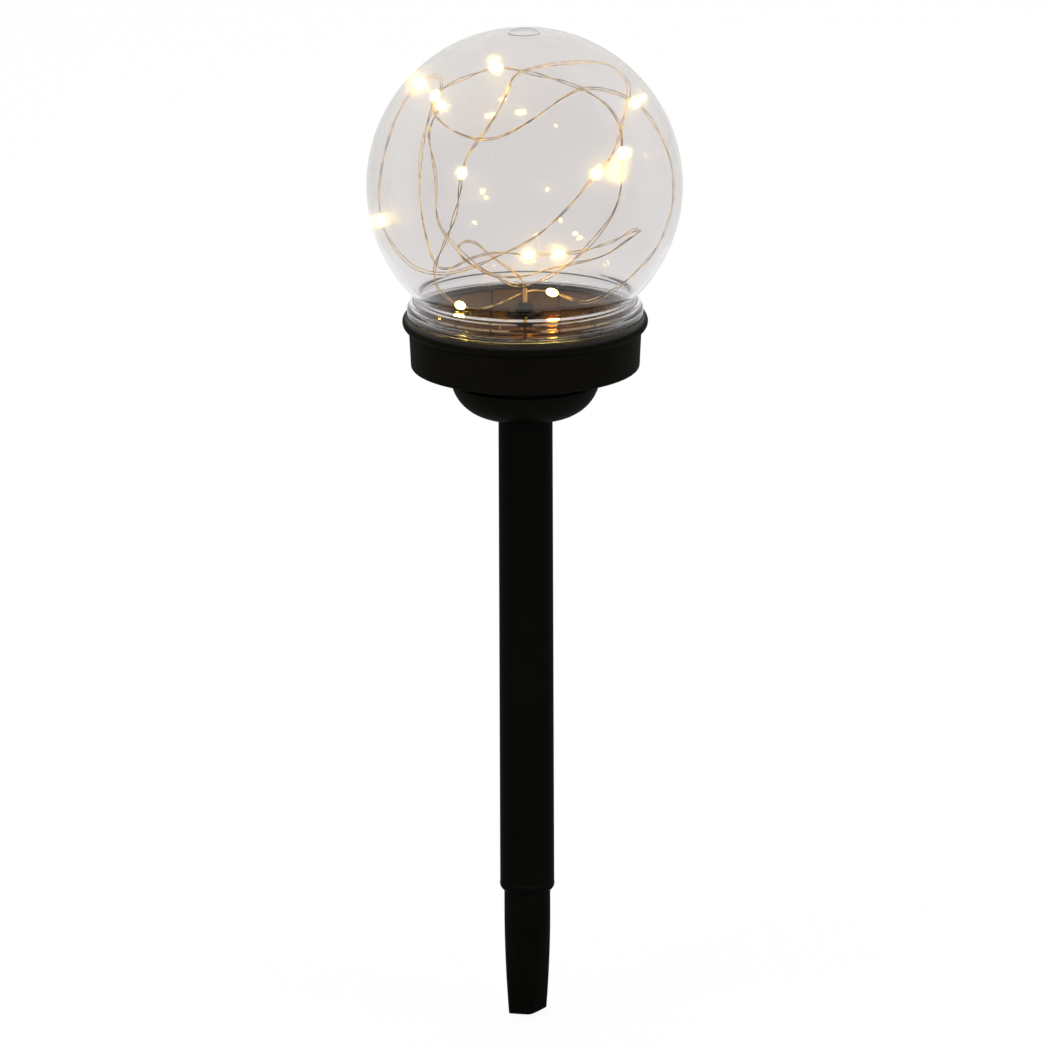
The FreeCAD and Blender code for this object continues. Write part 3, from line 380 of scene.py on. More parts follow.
def lightPlaces(even, points, lit, values):
    # The places on the line nearest to the lit points, and the line's direction there
    lead = len(routeStart)
    found = []
    for number in lit:
        target = Vector(points[number + lead]) * mm
        nearest = min(range(len(even)), key=lambda k: (even[k] - target).length)
        back = even[max(nearest - values["wayRings"], 0)]
        ahead = even[min(nearest + values["wayRings"], len(even) - 1)]
        way = (ahead - back).normalized()
        place = even[nearest]
        if nearest > len(even) - values["endRings"]:
            place = even[-1] - way * (values["length"] / 2)
        found.append((place, way))
    return found


def newTree(name, inputs):
    tree = bpy.data.node_groups.new(name, "GeometryNodeTree")
    tree.interface.new_socket(name="Geometry", in_out="INPUT", socket_type="NodeSocketGeometry")
    for label, kind in inputs:
        tree.interface.new_socket(name=label, in_out="INPUT", socket_type=kind)
    tree.interface.new_socket(name="Geometry", in_out="OUTPUT", socket_type="NodeSocketGeometry")
    return tree, tree.nodes.new("NodeGroupInput"), tree.nodes.new("NodeGroupOutput")


def meshFromTree(name, carrierMesh, tree, values):
    # Runs a node tree on a mesh and gives the plain mesh that comes out
    carrier = bpy.data.objects.new(name, carrierMesh)
    bpy.context.scene.collection.objects.link(carrier)
    modifier = carrier.modifiers.new("pattern", "NODES")
    modifier.node_group = tree
    for item in tree.interface.items_tree:
        if item.in_out == "INPUT" and item.name in values:
            modifier[item.identifier] = values[item.name]
    bpy.context.view_layer.update()
    seen = carrier.evaluated_get(bpy.context.evaluated_depsgraph_get())
    mesh = bpy.data.meshes.new_from_object(seen)
    carrier.modifiers.remove(modifier)
    bpy.data.objects.remove(carrier)
    mesh.name = name
    return mesh


def dropTree():
    # One clear drop at each point, lying along the wire
    tree, given, result = newTree("lightDropPattern", [
        ("Drop Length", "NodeSocketFloat"),
        ("Drop Width", "NodeSocketFloat"),
        ("Size Spread", "NodeSocketFloat"),
        ("Segments", "NodeSocketInt"),
        ("Rings", "NodeSocketInt"),
        ("Seed", "NodeSocketInt"),
        ("Material", "NodeSocketMaterial"),
    ])
    link = tree.links.new
    ball = tree.nodes.new("GeometryNodeMeshUVSphere")
    link(given.outputs["Segments"], ball.inputs["Segments"])
    link(given.outputs["Rings"], ball.inputs["Rings"])
    ball.inputs["Radius"].default_value = 0.5  # a ball 1 across, stretched to the drop's size below
    place = tree.nodes.new("GeometryNodeInputPosition")
    split = tree.nodes.new("ShaderNodeSeparateXYZ")
    link(place.outputs["Position"], split.inputs["Vector"])
    along = tree.nodes.new("GeometryNodeStoreNamedAttribute")
    along.data_type = "FLOAT"
    along.domain = "POINT"
    along.inputs["Name"].default_value = "alongDrop"
    link(ball.outputs["Mesh"], along.inputs["Geometry"])
    link(split.outputs["Z"], along.inputs["Value"])
    size = tree.nodes.new("ShaderNodeCombineXYZ")
    link(given.outputs["Drop Width"], size.inputs["X"])
    link(given.outputs["Drop Width"], size.inputs["Y"])
    link(given.outputs["Drop Length"], size.inputs["Z"])
    stretch = tree.nodes.new("GeometryNodeTransform")
    link(along.outputs["Geometry"], stretch.inputs["Geometry"])
    link(size.outputs["Vector"], stretch.inputs["Scale"])
    way = tree.nodes.new("GeometryNodeInputNamedAttribute")
    way.data_type = "FLOAT_VECTOR"
    way.inputs["Name"].default_value = "wireWay"
    turn = tree.nodes.new("FunctionNodeAlignRotationToVector")
    turn.axis = "Z"
    link(way.outputs["Attribute"], turn.inputs["Vector"])
    lowest = tree.nodes.new("ShaderNodeMath")
    lowest.operation = "SUBTRACT"
    lowest.inputs[0].default_value = 1.0
    link(given.outputs["Size Spread"], lowest.inputs[1])
    # Inputs 2 and 3 and output 1 are the Random Value node's plain numbers
    chance = tree.nodes.new("FunctionNodeRandomValue")
    chance.data_type = "FLOAT"
    link(lowest.outputs["Value"], chance.inputs[2])
    chance.inputs[3].default_value = 1.0
    link(given.outputs["Seed"], chance.inputs["Seed"])
    copies = tree.nodes.new("GeometryNodeInstanceOnPoints")
    link(given.outputs["Geometry"], copies.inputs["Points"])
    link(stretch.outputs["Geometry"], copies.inputs["Instance"])
    link(turn.outputs["Rotation"], copies.inputs["Rotation"])
    link(chance.outputs[1], copies.inputs["Scale"])
    real = tree.nodes.new("GeometryNodeRealizeInstances")
    link(copies.outputs["Instances"], real.inputs["Geometry"])
    smooth = tree.nodes.new("GeometryNodeSetShadeSmooth")
    link(real.outputs["Geometry"], smooth.inputs["Geometry"])
    finish = tree.nodes.new("GeometryNodeSetMaterial")
    link(smooth.outputs["Geometry"], finish.inputs["Geometry"])
    link(given.outputs["Material"], finish.inputs["Material"])
    link(finish.outputs["Geometry"], result.inputs["Geometry"])
    return tree


def shineThrough(tree, surface, tint):
    # Light from lamps passes, so that what lies behind is lit
    passing = addNode(tree, "ShaderNodeBsdfTransparent")
    passing.inputs["Color"].default_value = (*tint, 1)
    rays = addNode(tree, "ShaderNodeLightPath")
    mix = addNode(tree, "ShaderNodeMixShader")
    tree.links.new(rays.outputs["Is Shadow Ray"], mix.inputs["Fac"])
    tree.links.new(surface, mix.inputs[1])
    tree.links.new(passing.outputs["BSDF"], mix.inputs[2])
    tree.links.new(mix.outputs["Shader"], tree.nodes["Material Output"].inputs["Surface"])


def glowAlong(tree, shader, stops, strength):
    place = addNode(tree, "ShaderNodeAttribute", attribute_name="alongDrop")
    fromMiddle = addNode(tree, "ShaderNodeMath", operation="ABSOLUTE")
    tree.links.new(place.outputs["Fac"], fromMiddle.inputs[0])
    tree.links.new(rampOf(tree, fromMiddle.outputs["Value"], stops), shader.inputs["Emission Color"])
    shader.inputs["Emission Strength"].default_value = strength


def dropShellMaterial(values):
    material, tree, shader = newMaterial("amberDrop")
    shader.inputs["Base Color"].default_value = (*values["shellColour"], 1)
    shader.inputs["IOR"].default_value = values["shellIor"]
    shader.inputs["Transmission Weight"].default_value = 1.0
    glowAlong(tree, shader, values["shellStops"], values["shellGlow"])
    grain = noiseOf(tree, objectPlaces(tree), values["shellGrain"])
    tree.links.new(spread(tree, grain, *values["shellRoughness"]), shader.inputs["Roughness"])
    shineThrough(tree, shader.outputs["BSDF"], values["shellShadow"])
    return material


def hotCoreMaterial(values):
    material, tree, shader = newMaterial("hotCore")
    shader.inputs["Base Color"].default_value = (*values["coreColour"], 1)
    glowAlong(tree, shader, values["coreStops"], values["coreGlow"])
    return material


def makeLightString():
    places = routeCurve(routePoints, lightString["curveSteps"])
    even, length = evenPoints(places, lightString["ringStep"])
    drops = lightPlaces(even, routePoints, litPoints, lightDrop)
    copper = copperMaterial(lightString)
    strands = addPiece("lightStrands", strandMesh(even, lightString, drops), "head", copper)
    tree = dropTree()

    def dropsOf(name, share, material):
        points = bpy.data.meshes.new("dropPoints")
        points.from_pydata([at for at, _ in drops], [], [])
        ways = points.attributes.new("wireWay", "FLOAT_VECTOR", "POINT")
        for item, (_, way) in zip(ways.data, drops):
            item.vector = way
        mesh = meshFromTree(name, points, tree, {
            "Drop Length": lightDrop["length"] * share,
            "Drop Width": lightDrop["width"] * share,
            "Size Spread": lightDrop["sizeSpread"],
            "Segments": lightDrop["segments"],
            "Rings": lightDrop["rings"],
            "Seed": lightDrop["seed"],
            "Material": material,
        })
        return addPiece(name, mesh, "head")

    shells = dropsOf("lightDrops", 1.0, dropShellMaterial(lightDrop))
    cores = dropsOf("lightCores", lightDrop["coreShare"], hotCoreMaterial(lightDrop))
    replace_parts(strands, "light_string_wire")
    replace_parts(shells, "light_beads")
    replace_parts(cores, "light_chips")
    print("light string length", round(length, 4))
    return copper


copper = makeLightString()
print("camera and light string made")


# Shapes that are turned about the axis
edgeKeep = 0.08 * mm  # between an arc's end and the extra point beside it
onAxis = 1e-7  # a point nearer to the axis than this lies on it


def roundedOutline(corners, steps=6):
    # Corners of an outline as (radius, height, rounding); each rounding becomes an arc
    points = []
    count = len(corners)
    for number, (r, z, rounding) in enumerate(corners):
        here = Vector((r, z))
        if rounding <= 0 or number in (0, count - 1):
            points.append(here)
            continue
        before = Vector(corners[number - 1][:2])
        after = Vector(corners[number + 1][:2])
        arriving = (before - here).normalized()
        leaving = (after - here).normalized()
        half = arriving.angle(leaving) / 2
        reach = rounding / math.tan(half)
        centre = here + (arriving + leaving).normalized() * (rounding / math.sin(half))
        start = here + arriving * reach - centre
        end = here + leaving * reach - centre
        sweep = start.angle_signed(end)
        # A point just before and after each arc keeps the flat stretches flat when shaded smooth
        points.append(here + arriving * (reach + edgeKeep))
        for step in range(steps + 1):
            turn = Matrix.Rotation(-sweep * step / steps, 2)
            points.append(centre + turn @ start)
        points.append(here + leaving * (reach + edgeKeep))
    return points


def arcOutline(centreZ, radius, fromAngle, toAngle, steps):
    # Points of a circle centred on the axis, by their angle from the top
    points = []
    for step in range(steps + 1):
        angle = math.radians(fromAngle + (toAngle - fromAngle) * step / steps)
        points.append(Vector((radius * math.sin(angle), centreZ + radius * math.cos(angle))))
    return points


def turnedMesh(name, outline, segments, sharpAngle):
    # Turns an outline about Z. It starts and ends on the axis, so the shape is closed
    mesh = bmesh.new()
    rings = []
    for point in outline:
        if point.x < onAxis:
            rings.append([mesh.verts.new((0, 0, point.y))])
            continue
        ring = []
        for number in range(segments):
            angle = math.tau * number / segments
            ring.append(mesh.verts.new((point.x * math.cos(angle), point.x * math.sin(angle), point.y)))
        rings.append(ring)
    for low, high in zip(rings, rings[1:]):
        for number in range(segments):
            after = (number + 1) % segments
            corners = [
                low[number % len(low)], low[after % len(low)],
                high[after % len(high)], high[number % len(high)],
            ]
            # On the axis two corners are the same point, and the face is a triangle
            mesh.faces.new([c for k, c in enumerate(corners) if c not in corners[:k]])
    bmesh.ops.recalc_face_normals(mesh, faces=mesh.faces)
    data = bpy.data.meshes.new(name)
    mesh.to_mesh(data)
    mesh.free()
    data.shade_smooth()
    data.set_sharp_from_angle(angle=math.radians(sharpAngle))
    return data


# The clear ball with its neck and flange
clearBall = {
    "wall": 1.6 * mm,
    "arcSteps": 110,
    "markRadius": 5.6 * mm,
    "markWidth": 0.9 * mm,
    "markHeight": 0.1 * mm,
    "markSteps": 8,
    "neckRadius": 42.0 * mm,
    "neckRounding": 0.3 * mm,
    "grooveRadius": 41.6 * mm,
    "grooveHeight": 6.2 * mm,
    "grooveRounding": 1.6 * mm,
    "shoulderRadius": 43.6 * mm,
    "shoulderHeight": 4.9 * mm,
    "shoulderRounding": 1.6 * mm,
    "flangeRadius": 44.8 * mm,
    "flangeEdgeHeight": 2.7 * mm,
    "flangeRounding": 1.4 * mm,
    "bulgeRadius": 43.2 * mm,
    "bulgeLow": 1.0 * mm,
    "bulgeHigh": 3.2 * mm,
    "bulgeRounding": 1.0 * mm,
    "throatRadius": 40.2 * mm,
    "throatHeight": 6.5 * mm,
    "throatRounding": 1.2 * mm,
    "throatTop": 41.2 * mm,
    "skirtRadius": 41.4 * mm,
    "skirtWall": 1.5 * mm,
    "skirtTop": 0.3 * mm,
    "edgeRounding": 0.3 * mm,
    "flangeGap": 0.2 * mm,
    "segments": 224,
    "sharpAngle": 40.0,
    "tint": (0.853, 0.838, 0.838),
    "ior": 1.49,
    "waveScale": 26,
    "waveBump": 0.12,
    "waveDepth": 0.4 * mm,
    "shadowTint": (0.9, 0.9, 0.9),
    "hazeShare": 0.1,
    "hazeRoughness": 0.2,
    "hazeFrom": 252.0 * mm,
    "hazeTo": 264.0 * mm,
}


def clearPlasticMaterial(values):
    # Polished plastic with a little haze in the ball above the neck, a soft glow round each light
    material, tree, shader = newMaterial("clearPlastic")
    haze = addNode(tree, "ShaderNodeBsdfPrincipled")
    places = objectPlaces(tree)
    waves = noiseOf(tree, places, values["waveScale"], detail=1)
    for part, roughness in ((shader, 0.0), (haze, values["hazeRoughness"])):
        part.inputs["Base Color"].default_value = (*values["tint"], 1)
        part.inputs["Roughness"].default_value = roughness
        part.inputs["IOR"].default_value = values["ior"]
        part.inputs["Transmission Weight"].default_value = 1.0
        bumpFrom(tree, part, waves, values["waveBump"], values["waveDepth"])
    split = addNode(tree, "ShaderNodeSeparateXYZ")
    tree.links.new(places, split.inputs["Vector"])
    upward = addNode(tree, "ShaderNodeMapRange", interpolation_type="SMOOTHSTEP")
    upward.inputs["From Min"].default_value = values["hazeFrom"]
    upward.inputs["From Max"].default_value = values["hazeTo"]
    upward.inputs["To Max"].default_value = values["hazeShare"]
    tree.links.new(split.outputs["Z"], upward.inputs["Value"])
    cloudy = addNode(tree, "ShaderNodeMixShader")
    tree.links.new(upward.outputs["Result"], cloudy.inputs["Fac"])
    tree.links.new(shader.outputs["BSDF"], cloudy.inputs[1])
    tree.links.new(haze.outputs["BSDF"], cloudy.inputs[2])
    shineThrough(tree, cloudy.outputs["Shader"], values["shadowTint"])
    return material


def markedCrown(centreZ, radius, values):
    # The crown carries the low ring that the mould leaves round its gate
    middle, half = values["markRadius"], values["markWidth"] / 2
    inside = [(middle - half) * step / values["markSteps"] for step in range(values["markSteps"])]
    across = [middle + half * (2 * step / values["markSteps"] - 1) for step in range(values["markSteps"] + 1)]
    points = []
    for r in inside + across:
        away = min(abs(r - middle) / half, 1)
        lift = values["markHeight"] * (1 + math.cos(math.pi * away)) / 2
        points.append(Vector((r, centreZ + math.sqrt(radius ** 2 - r ** 2) + lift)))
    return points


def ballOutline(values):
    # The wall keeps about one thickness all the way, through the neck and the flange too
    low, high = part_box("globe")
    radius = high.x
    centreZ = high.z - radius
    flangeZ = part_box("housing_cup")[1].z + values["flangeGap"]
    skirtIn = values["skirtRadius"] - values["skirtWall"]
    edge = values["edgeRounding"]
    neckAngle = 180 - math.degrees(math.asin(values["neckRadius"] / radius))
    outer = markedCrown(centreZ, radius, values)
    markAngle = math.degrees(math.asin(outer[-1].x / radius))
    outer = outer[:-1] + arcOutline(centreZ, radius, markAngle, neckAngle, values["arcSteps"])
    innerRadius = radius - values["wall"]
    throatAngle = 180 - math.degrees(math.asin(values["throatTop"] / innerRadius))
    inner = arcOutline(centreZ, innerRadius, throatAngle, 0, values["arcSteps"])
    neck = outer.pop()
    corners = roundedOutline([
        (outer[-1].x, outer[-1].y, 0),
        (neck.x, neck.y, values["neckRounding"]),
        (values["grooveRadius"], flangeZ + values["grooveHeight"], values["grooveRounding"]),
        (values["shoulderRadius"], flangeZ + values["shoulderHeight"], values["shoulderRounding"]),
        (values["flangeRadius"], flangeZ + values["flangeEdgeHeight"], values["flangeRounding"]),
        (values["flangeRadius"], flangeZ, edge),
        (values["skirtRadius"], flangeZ, edge),
        (values["skirtRadius"], low.z, edge),
        (skirtIn, low.z, edge),
        (skirtIn, flangeZ + values["skirtTop"], edge),
        (values["bulgeRadius"], flangeZ + values["bulgeLow"], values["bulgeRounding"]),
        (values["bulgeRadius"], flangeZ + values["bulgeHigh"], values["bulgeRounding"]),
        (values["throatRadius"], flangeZ + values["throatHeight"], values["throatRounding"]),
        (inner[0].x, inner[0].y, 0),
    ])
    return outer + corners[1:-1] + inner


# The lugs on the skirt, which turn in the cup's groove
ballLugs = {
    "count": 3,
    "arc": 14.0,
    "sunk": 0.15 * mm,  # how far a lug reaches into the skirt
    "projection": 1.5 * mm,
    "height": 2.0 * mm,
    "rise": 0.9 * mm,
    "segments": 12,
}


def lugTree():
    # Short curved blocks round the skirt, the same angle apart
    tree, given, result = newTree("lugPattern", [
        ("Lug Count", "NodeSocketInt"),
        ("Lug Arc", "NodeSocketFloat"),
        ("Lug Size", "NodeSocketVector"),
        ("Lug Radius", "NodeSocketFloat"),
        ("Lug Level", "NodeSocketFloat"),
        ("Segments", "NodeSocketInt"),
        ("Material", "NodeSocketMaterial"),
    ])
    link = tree.links.new

    def calculated(operation, first, second):
        node = addNode(tree, "ShaderNodeMath", operation=operation)
        for number, value in enumerate((first, second)):
            if isinstance(value, (int, float)):
                node.inputs[number].default_value = value
            elif value is not None:
                link(value, node.inputs[number])
        return node.outputs["Value"]

    block = tree.nodes.new("GeometryNodeMeshCube")
    link(given.outputs["Lug Size"], block.inputs["Size"])
    link(given.outputs["Segments"], block.inputs["Vertices X"])
    place = tree.nodes.new("GeometryNodeInputPosition")
    split = tree.nodes.new("ShaderNodeSeparateXYZ")
    link(place.outputs["Position"], split.inputs["Vector"])
    angle = calculated("MULTIPLY", split.outputs["X"], given.outputs["Lug Arc"])
    reach = calculated("ADD", split.outputs["Y"], given.outputs["Lug Radius"])
    bent = tree.nodes.new("ShaderNodeCombineXYZ")
    link(calculated("MULTIPLY", reach, calculated("COSINE", angle, None)), bent.inputs["X"])
    link(calculated("MULTIPLY", reach, calculated("SINE", angle, None)), bent.inputs["Y"])
    link(calculated("ADD", split.outputs["Z"], given.outputs["Lug Level"]), bent.inputs["Z"])
    shape = tree.nodes.new("GeometryNodeSetPosition")
    link(block.outputs["Mesh"], shape.inputs["Geometry"])
    link(bent.outputs["Vector"], shape.inputs["Position"])
    outward = tree.nodes.new("GeometryNodeFlipFaces")
    link(shape.outputs["Geometry"], outward.inputs["Mesh"])
    spots = tree.nodes.new("GeometryNodePoints")
    link(given.outputs["Lug Count"], spots.inputs["Count"])
    index = tree.nodes.new("GeometryNodeInputIndex")
    apart = calculated("DIVIDE", math.tau, given.outputs["Lug Count"])
    turn = tree.nodes.new("ShaderNodeCombineXYZ")
    link(calculated("MULTIPLY", index.outputs["Index"], apart), turn.inputs["Z"])
    way = tree.nodes.new("FunctionNodeEulerToRotation")
    link(turn.outputs["Vector"], way.inputs["Euler"])
    copies = tree.nodes.new("GeometryNodeInstanceOnPoints")
    link(spots.outputs["Points"], copies.inputs["Points"])
    link(outward.outputs["Mesh"], copies.inputs["Instance"])
    link(way.outputs["Rotation"], copies.inputs["Rotation"])
    real = tree.nodes.new("GeometryNodeRealizeInstances")
    link(copies.outputs["Instances"], real.inputs["Geometry"])
    finish = tree.nodes.new("GeometryNodeSetMaterial")
    link(real.outputs["Geometry"], finish.inputs["Geometry"])
    link(given.outputs["Material"], finish.inputs["Material"])
    link(finish.outputs["Geometry"], result.inputs["Geometry"])
    return tree


def makeLugs(values, glass):
    depth = values["projection"] + values["sunk"]
    mesh = meshFromTree("ballLugs", bpy.data.meshes.new("lugCarrier"), lugTree(), {
        "Lug Count": values["count"],
        "Lug Arc": math.radians(values["arc"]),
        "Lug Size": (1.0, depth, values["height"]),
        "Lug Radius": clearBall["skirtRadius"] + values["projection"] - depth / 2,
        "Lug Level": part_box("globe")[0].z + values["rise"] + values["height"] / 2,
        "Segments": values["segments"],
        "Material": glass,
    })
    addPiece("ballLugs", mesh, "ball")


def makeBall():
    glass = clearPlasticMaterial(clearBall)
    mesh = turnedMesh("clearBall", ballOutline(clearBall), clearBall["segments"], clearBall["sharpAngle"])
    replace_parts(addPiece("clearBall", mesh, "ball", glass), "globe")
    makeLugs(ballLugs, glass)


makeBall()
print("ball made")


# Finishes of the parts that stay as modelled. Each goes from its dark to its light colour in
# soft clouds, and lists the parts that have it
blackFinishes = {
    "blackPlastic": {
        "dark": (0.00248, 0.00184, 0.0004), "light": (0.0031, 0.0023, 0.0005), "roughness": (0.28, 0.38),
        "shine": 0.22, "parts": ["pole_adapter", "housing_cup", "switch_slider"],
    },
    "polePlastic": {
        "dark": (0.00136, 0.0012, 0.00056), "light": (0.0017, 0.0015, 0.0007), "roughness": (0.31, 0.41),
        "shine": 0.14, "parts": ["ground_spike", "pole_tube"],
    },
    "blackInnerPlastic": {
        "dark": (0.0024, 0.002, 0.00144), "light": (0.003, 0.0025, 0.0018), "roughness": (0.25, 0.35),
        "shine": 0.05, "parts": ["panel_deck", "battery_holder"],
    },
}
smallPartFinishes = {
    "hubPlastic": {
        "dark": (0.003, 0.0025, 0.002), "light": (0.006, 0.005, 0.004), "roughness": (0.096, 0.144),
        "shine": 0.004, "parts": ["wire_grommet"],
    },
    "panelBoard": {
        "dark": (0.005, 0.003, 0.001), "light": (0.010, 0.006, 0.002), "roughness": (0.24, 0.36),
        "shine": 0.0, "parts": ["panel_board"],
    },
    "sealRubber": {
        "dark": (0.012, 0.012, 0.012), "light": (0.02, 0.02, 0.02), "roughness": (0.56, 0.84),
        "shine": 0.2, "parts": ["deck_seal"],
    },
    "zincSteel": {
        "dark": (0.50, 0.50, 0.50), "light": (0.62, 0.62, 0.63), "roughness": (0.256, 0.384),
        "metallic": 1.0, "clouds": 900,
        "parts": ["housing_screws", "adapter_screws", "board_screws", "battery_cell", "switch_body"],
    },
    "nickelContact": {
        "dark": (0.58, 0.56, 0.52), "light": (0.70, 0.68, 0.64), "roughness": (0.16, 0.24),
        "metallic": 1.0, "clouds": 900, "parts": ["contact_plate", "contact_spring", "battery_cap"],
    },
    "cellWrap": {
        "dark": (0.03, 0.20, 0.10), "light": (0.05, 0.25, 0.13), "roughness": (0.2, 0.3),
        "clouds": 120, "parts": ["battery_wrapper"],
    },
    "chipPackage": {
        "dark": (0.02, 0.02, 0.022), "light": (0.03, 0.03, 0.032), "roughness": (0.4, 0.6),
        "clouds": 1500, "parts": ["driver_chip"],
    },
    "coilBody": {
        "dark": (0.05, 0.14, 0.08), "light": (0.08, 0.20, 0.11), "roughness": (0.24, 0.36),
        "clouds": 700, "parts": ["boost_inductor"],
    },
    "capacitorSleeve": {
        "dark": (0.02, 0.03, 0.09), "light": (0.03, 0.04, 0.12), "roughness": (0.24, 0.36),
        "clouds": 500, "parts": ["board_capacitor"],
    },
    "leadInsulation": {
        "dark": (0.30, 0.02, 0.015), "light": (0.38, 0.03, 0.02), "roughness": (0.28, 0.42),
        "clouds": 400, "parts": ["panel_leads", "battery_leads"],
    },
    "paleSleeve": {
        "dark": (0.24, 0.16, 0.08), "light": (0.32, 0.22, 0.11), "roughness": (0.32, 0.48),
        "clouds": 500, "parts": ["wire_sleeve"],
    },
}
# What these finishes have in common, where they say nothing else
blackSurface = {"metallic": 0.0, "clouds": 60, "grainToClouds": 1400 / 60, "bump": 0.08, "depth": 0.03 * mm}
smallPartSurface = {
    "metallic": 0.0, "shine": 0.5, "clouds": 300, "grainToClouds": 5, "bump": 0.1, "depth": 0.04 * mm,
}
cloudStops = (0.35, 0.65)


def cloudyMaterial(name, values):
    material, tree, shader = newMaterial(name)
    places = objectPlaces(tree)
    clouds = noiseOf(tree, places, values["clouds"], detail=3)
    colours = rampOf(tree, clouds, list(zip(cloudStops, (values["dark"], values["light"]))))
    tree.links.new(colours, shader.inputs["Base Color"])
    tree.links.new(spread(tree, clouds, *values["roughness"]), shader.inputs["Roughness"])
    shader.inputs["Metallic"].default_value = values["metallic"]
    shader.inputs["Specular IOR Level"].default_value = values["shine"]
    grain = noiseOf(tree, places, values["clouds"] * values["grainToClouds"])
    bumpFrom(tree, shader, grain, values["bump"], values["depth"])
    return material


panelCover = {
    "tint": (0.95, 0.88, 0.78),
    "ior": 1.015,
    "rippleScale": 45,
    "rippleBump": 0.25,
    "rippleDepth": 0.15 * mm,
    "roughness": (0.03, 0.08),
    "shadowTint": (0.8, 0.7, 0.55),
}


def clearCoverMaterial(values):
    material, tree, shader = newMaterial("clearPanelCover")
    shader.inputs["Base Color"].default_value = (*values["tint"], 1)
    shader.inputs["IOR"].default_value = values["ior"]
    shader.inputs["Transmission Weight"].default_value = 1.0
    ripple = noiseOf(tree, objectPlaces(tree), values["rippleScale"])
    tree.links.new(spread(tree, ripple, *values["roughness"]), shader.inputs["Roughness"])
    bumpFrom(tree, shader, ripple, values["rippleBump"], values["rippleDepth"])
    shineThrough(tree, shader.outputs["BSDF"], values["shadowTint"])
    return material


# Dark golden brown coated cells with thin fingers across them
solarCells = {
    "fingerHalfPitch": 0.9 * mm,
    "fingerHalfWidth": 0.05 * mm,
    "fingerColour": (0.10, 0.064, 0.008),
    "grainScale": 70,
    "grainColours": [(0.38, (0.018, 0.010, 0.001)), (0.64, (0.11, 0.070, 0.006))],
    "edgeTint": (0.60, 0.46, 0.14),
    "roughness": (0.12, 0.2),
    "thinness": 0.6,
    "mergeWithin": 0.001 * mm,
}


def siliconMaterial(values):
    material, tree, shader = newMaterial("siliconCells")
    places = objectPlaces(tree)
    split = addNode(tree, "ShaderNodeSeparateXYZ")
    tree.links.new(places, split.inputs["Vector"])
    fingers = addNode(tree, "ShaderNodeMath", operation="PINGPONG")
    fingers.inputs[1].default_value = values["fingerHalfPitch"]
    tree.links.new(split.outputs["Y"], fingers.inputs[0])
    thin = addNode(tree, "ShaderNodeMath", operation="LESS_THAN")
    thin.inputs[1].default_value = values["fingerHalfWidth"]
    tree.links.new(fingers.outputs["Value"], thin.inputs[0])
    grain = noiseOf(tree, places, values["grainScale"], detail=3)
    # Inputs 6 and 7 and output 2 are the Mix node's colours
    mix = addNode(tree, "ShaderNodeMix", data_type="RGBA")
    mix.inputs[7].default_value = (*values["fingerColour"], 1)
    tree.links.new(thin.outputs["Value"], mix.inputs[0])
    tree.links.new(rampOf(tree, grain, values["grainColours"]), mix.inputs[6])
    tree.links.new(mix.outputs[2], shader.inputs["Base Color"])
    shader.inputs["Metallic"].default_value = 1.0
    shader.inputs["Specular Tint"].default_value = (*values["edgeTint"], 1)
    tree.links.new(spread(tree, grain, *values["roughness"]), shader.inputs["Roughness"])
    return material


circuitFinish = {
    "patchScale": 420,
    "patchColours": [(0.04, (0.09, 0.30, 0.12)), (0.1, (0.02, 0.12, 0.05))],
    "grainScale": 500,
    "roughness": (0.25, 0.4),
}


def circuitMaterial(values):
    material, tree, shader = newMaterial("circuitBoard")
    places = objectPlaces(tree)
    patches = addNode(tree, "ShaderNodeTexVoronoi", feature="DISTANCE_TO_EDGE", distance="MANHATTAN")
    patches.inputs["Scale"].default_value = values["patchScale"]
    tree.links.new(places, patches.inputs["Vector"])
    tracks = rampOf(tree, patches.outputs["Distance"], values["patchColours"])
    tree.links.new(tracks, shader.inputs["Base Color"])
    grain = noiseOf(tree, places, values["grainScale"])
    tree.links.new(spread(tree, grain, *values["roughness"]), shader.inputs["Roughness"])
    return material


def layThinCells(values, silicon):
    # The cells a little thinner, so that the light that passes the cover's inner face reaches them
    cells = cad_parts["solar_cells"]
    low = Vector((0, 0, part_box("solar_cells")[0].z))
    mesh = bmesh.new()
    mesh.from_mesh(cells.data)
    bmesh.ops.remove_doubles(mesh, verts=mesh.verts, dist=values["mergeWithin"])
    thinner = Matrix.Scale(values["thinness"], 4, (0, 0, 1))
    mesh.transform(Matrix.Translation(low) @ thinner @ Matrix.Translation(-low) @ cells.matrix_world)
    data = bpy.data.meshes.new("thinCells")
    mesh.to_mesh(data)
    mesh.free()
    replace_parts(addPiece("thinCells", data, "head", silicon), "solar_cells")


def dressParts(names, material):
    for name in names:
        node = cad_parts[name]
        node.data.materials.clear()
        node.data.materials.append(material)


def dressFrame():
    for surface, finishes in ((blackSurface, blackFinishes), (smallPartSurface, smallPartFinishes)):
        for name, finish in finishes.items():
            dressParts(finish["parts"], cloudyMaterial(name, {**surface, **finish}))
    dressParts(["string_leads"], copper)
    dressParts(["panel_cover"], clearCoverMaterial(panelCover))
    dressParts(["circuit_board"], circuitMaterial(circuitFinish))
    layThinCells(solarCells, siliconMaterial(solarCells))


dressFrame()
print("finishes set")

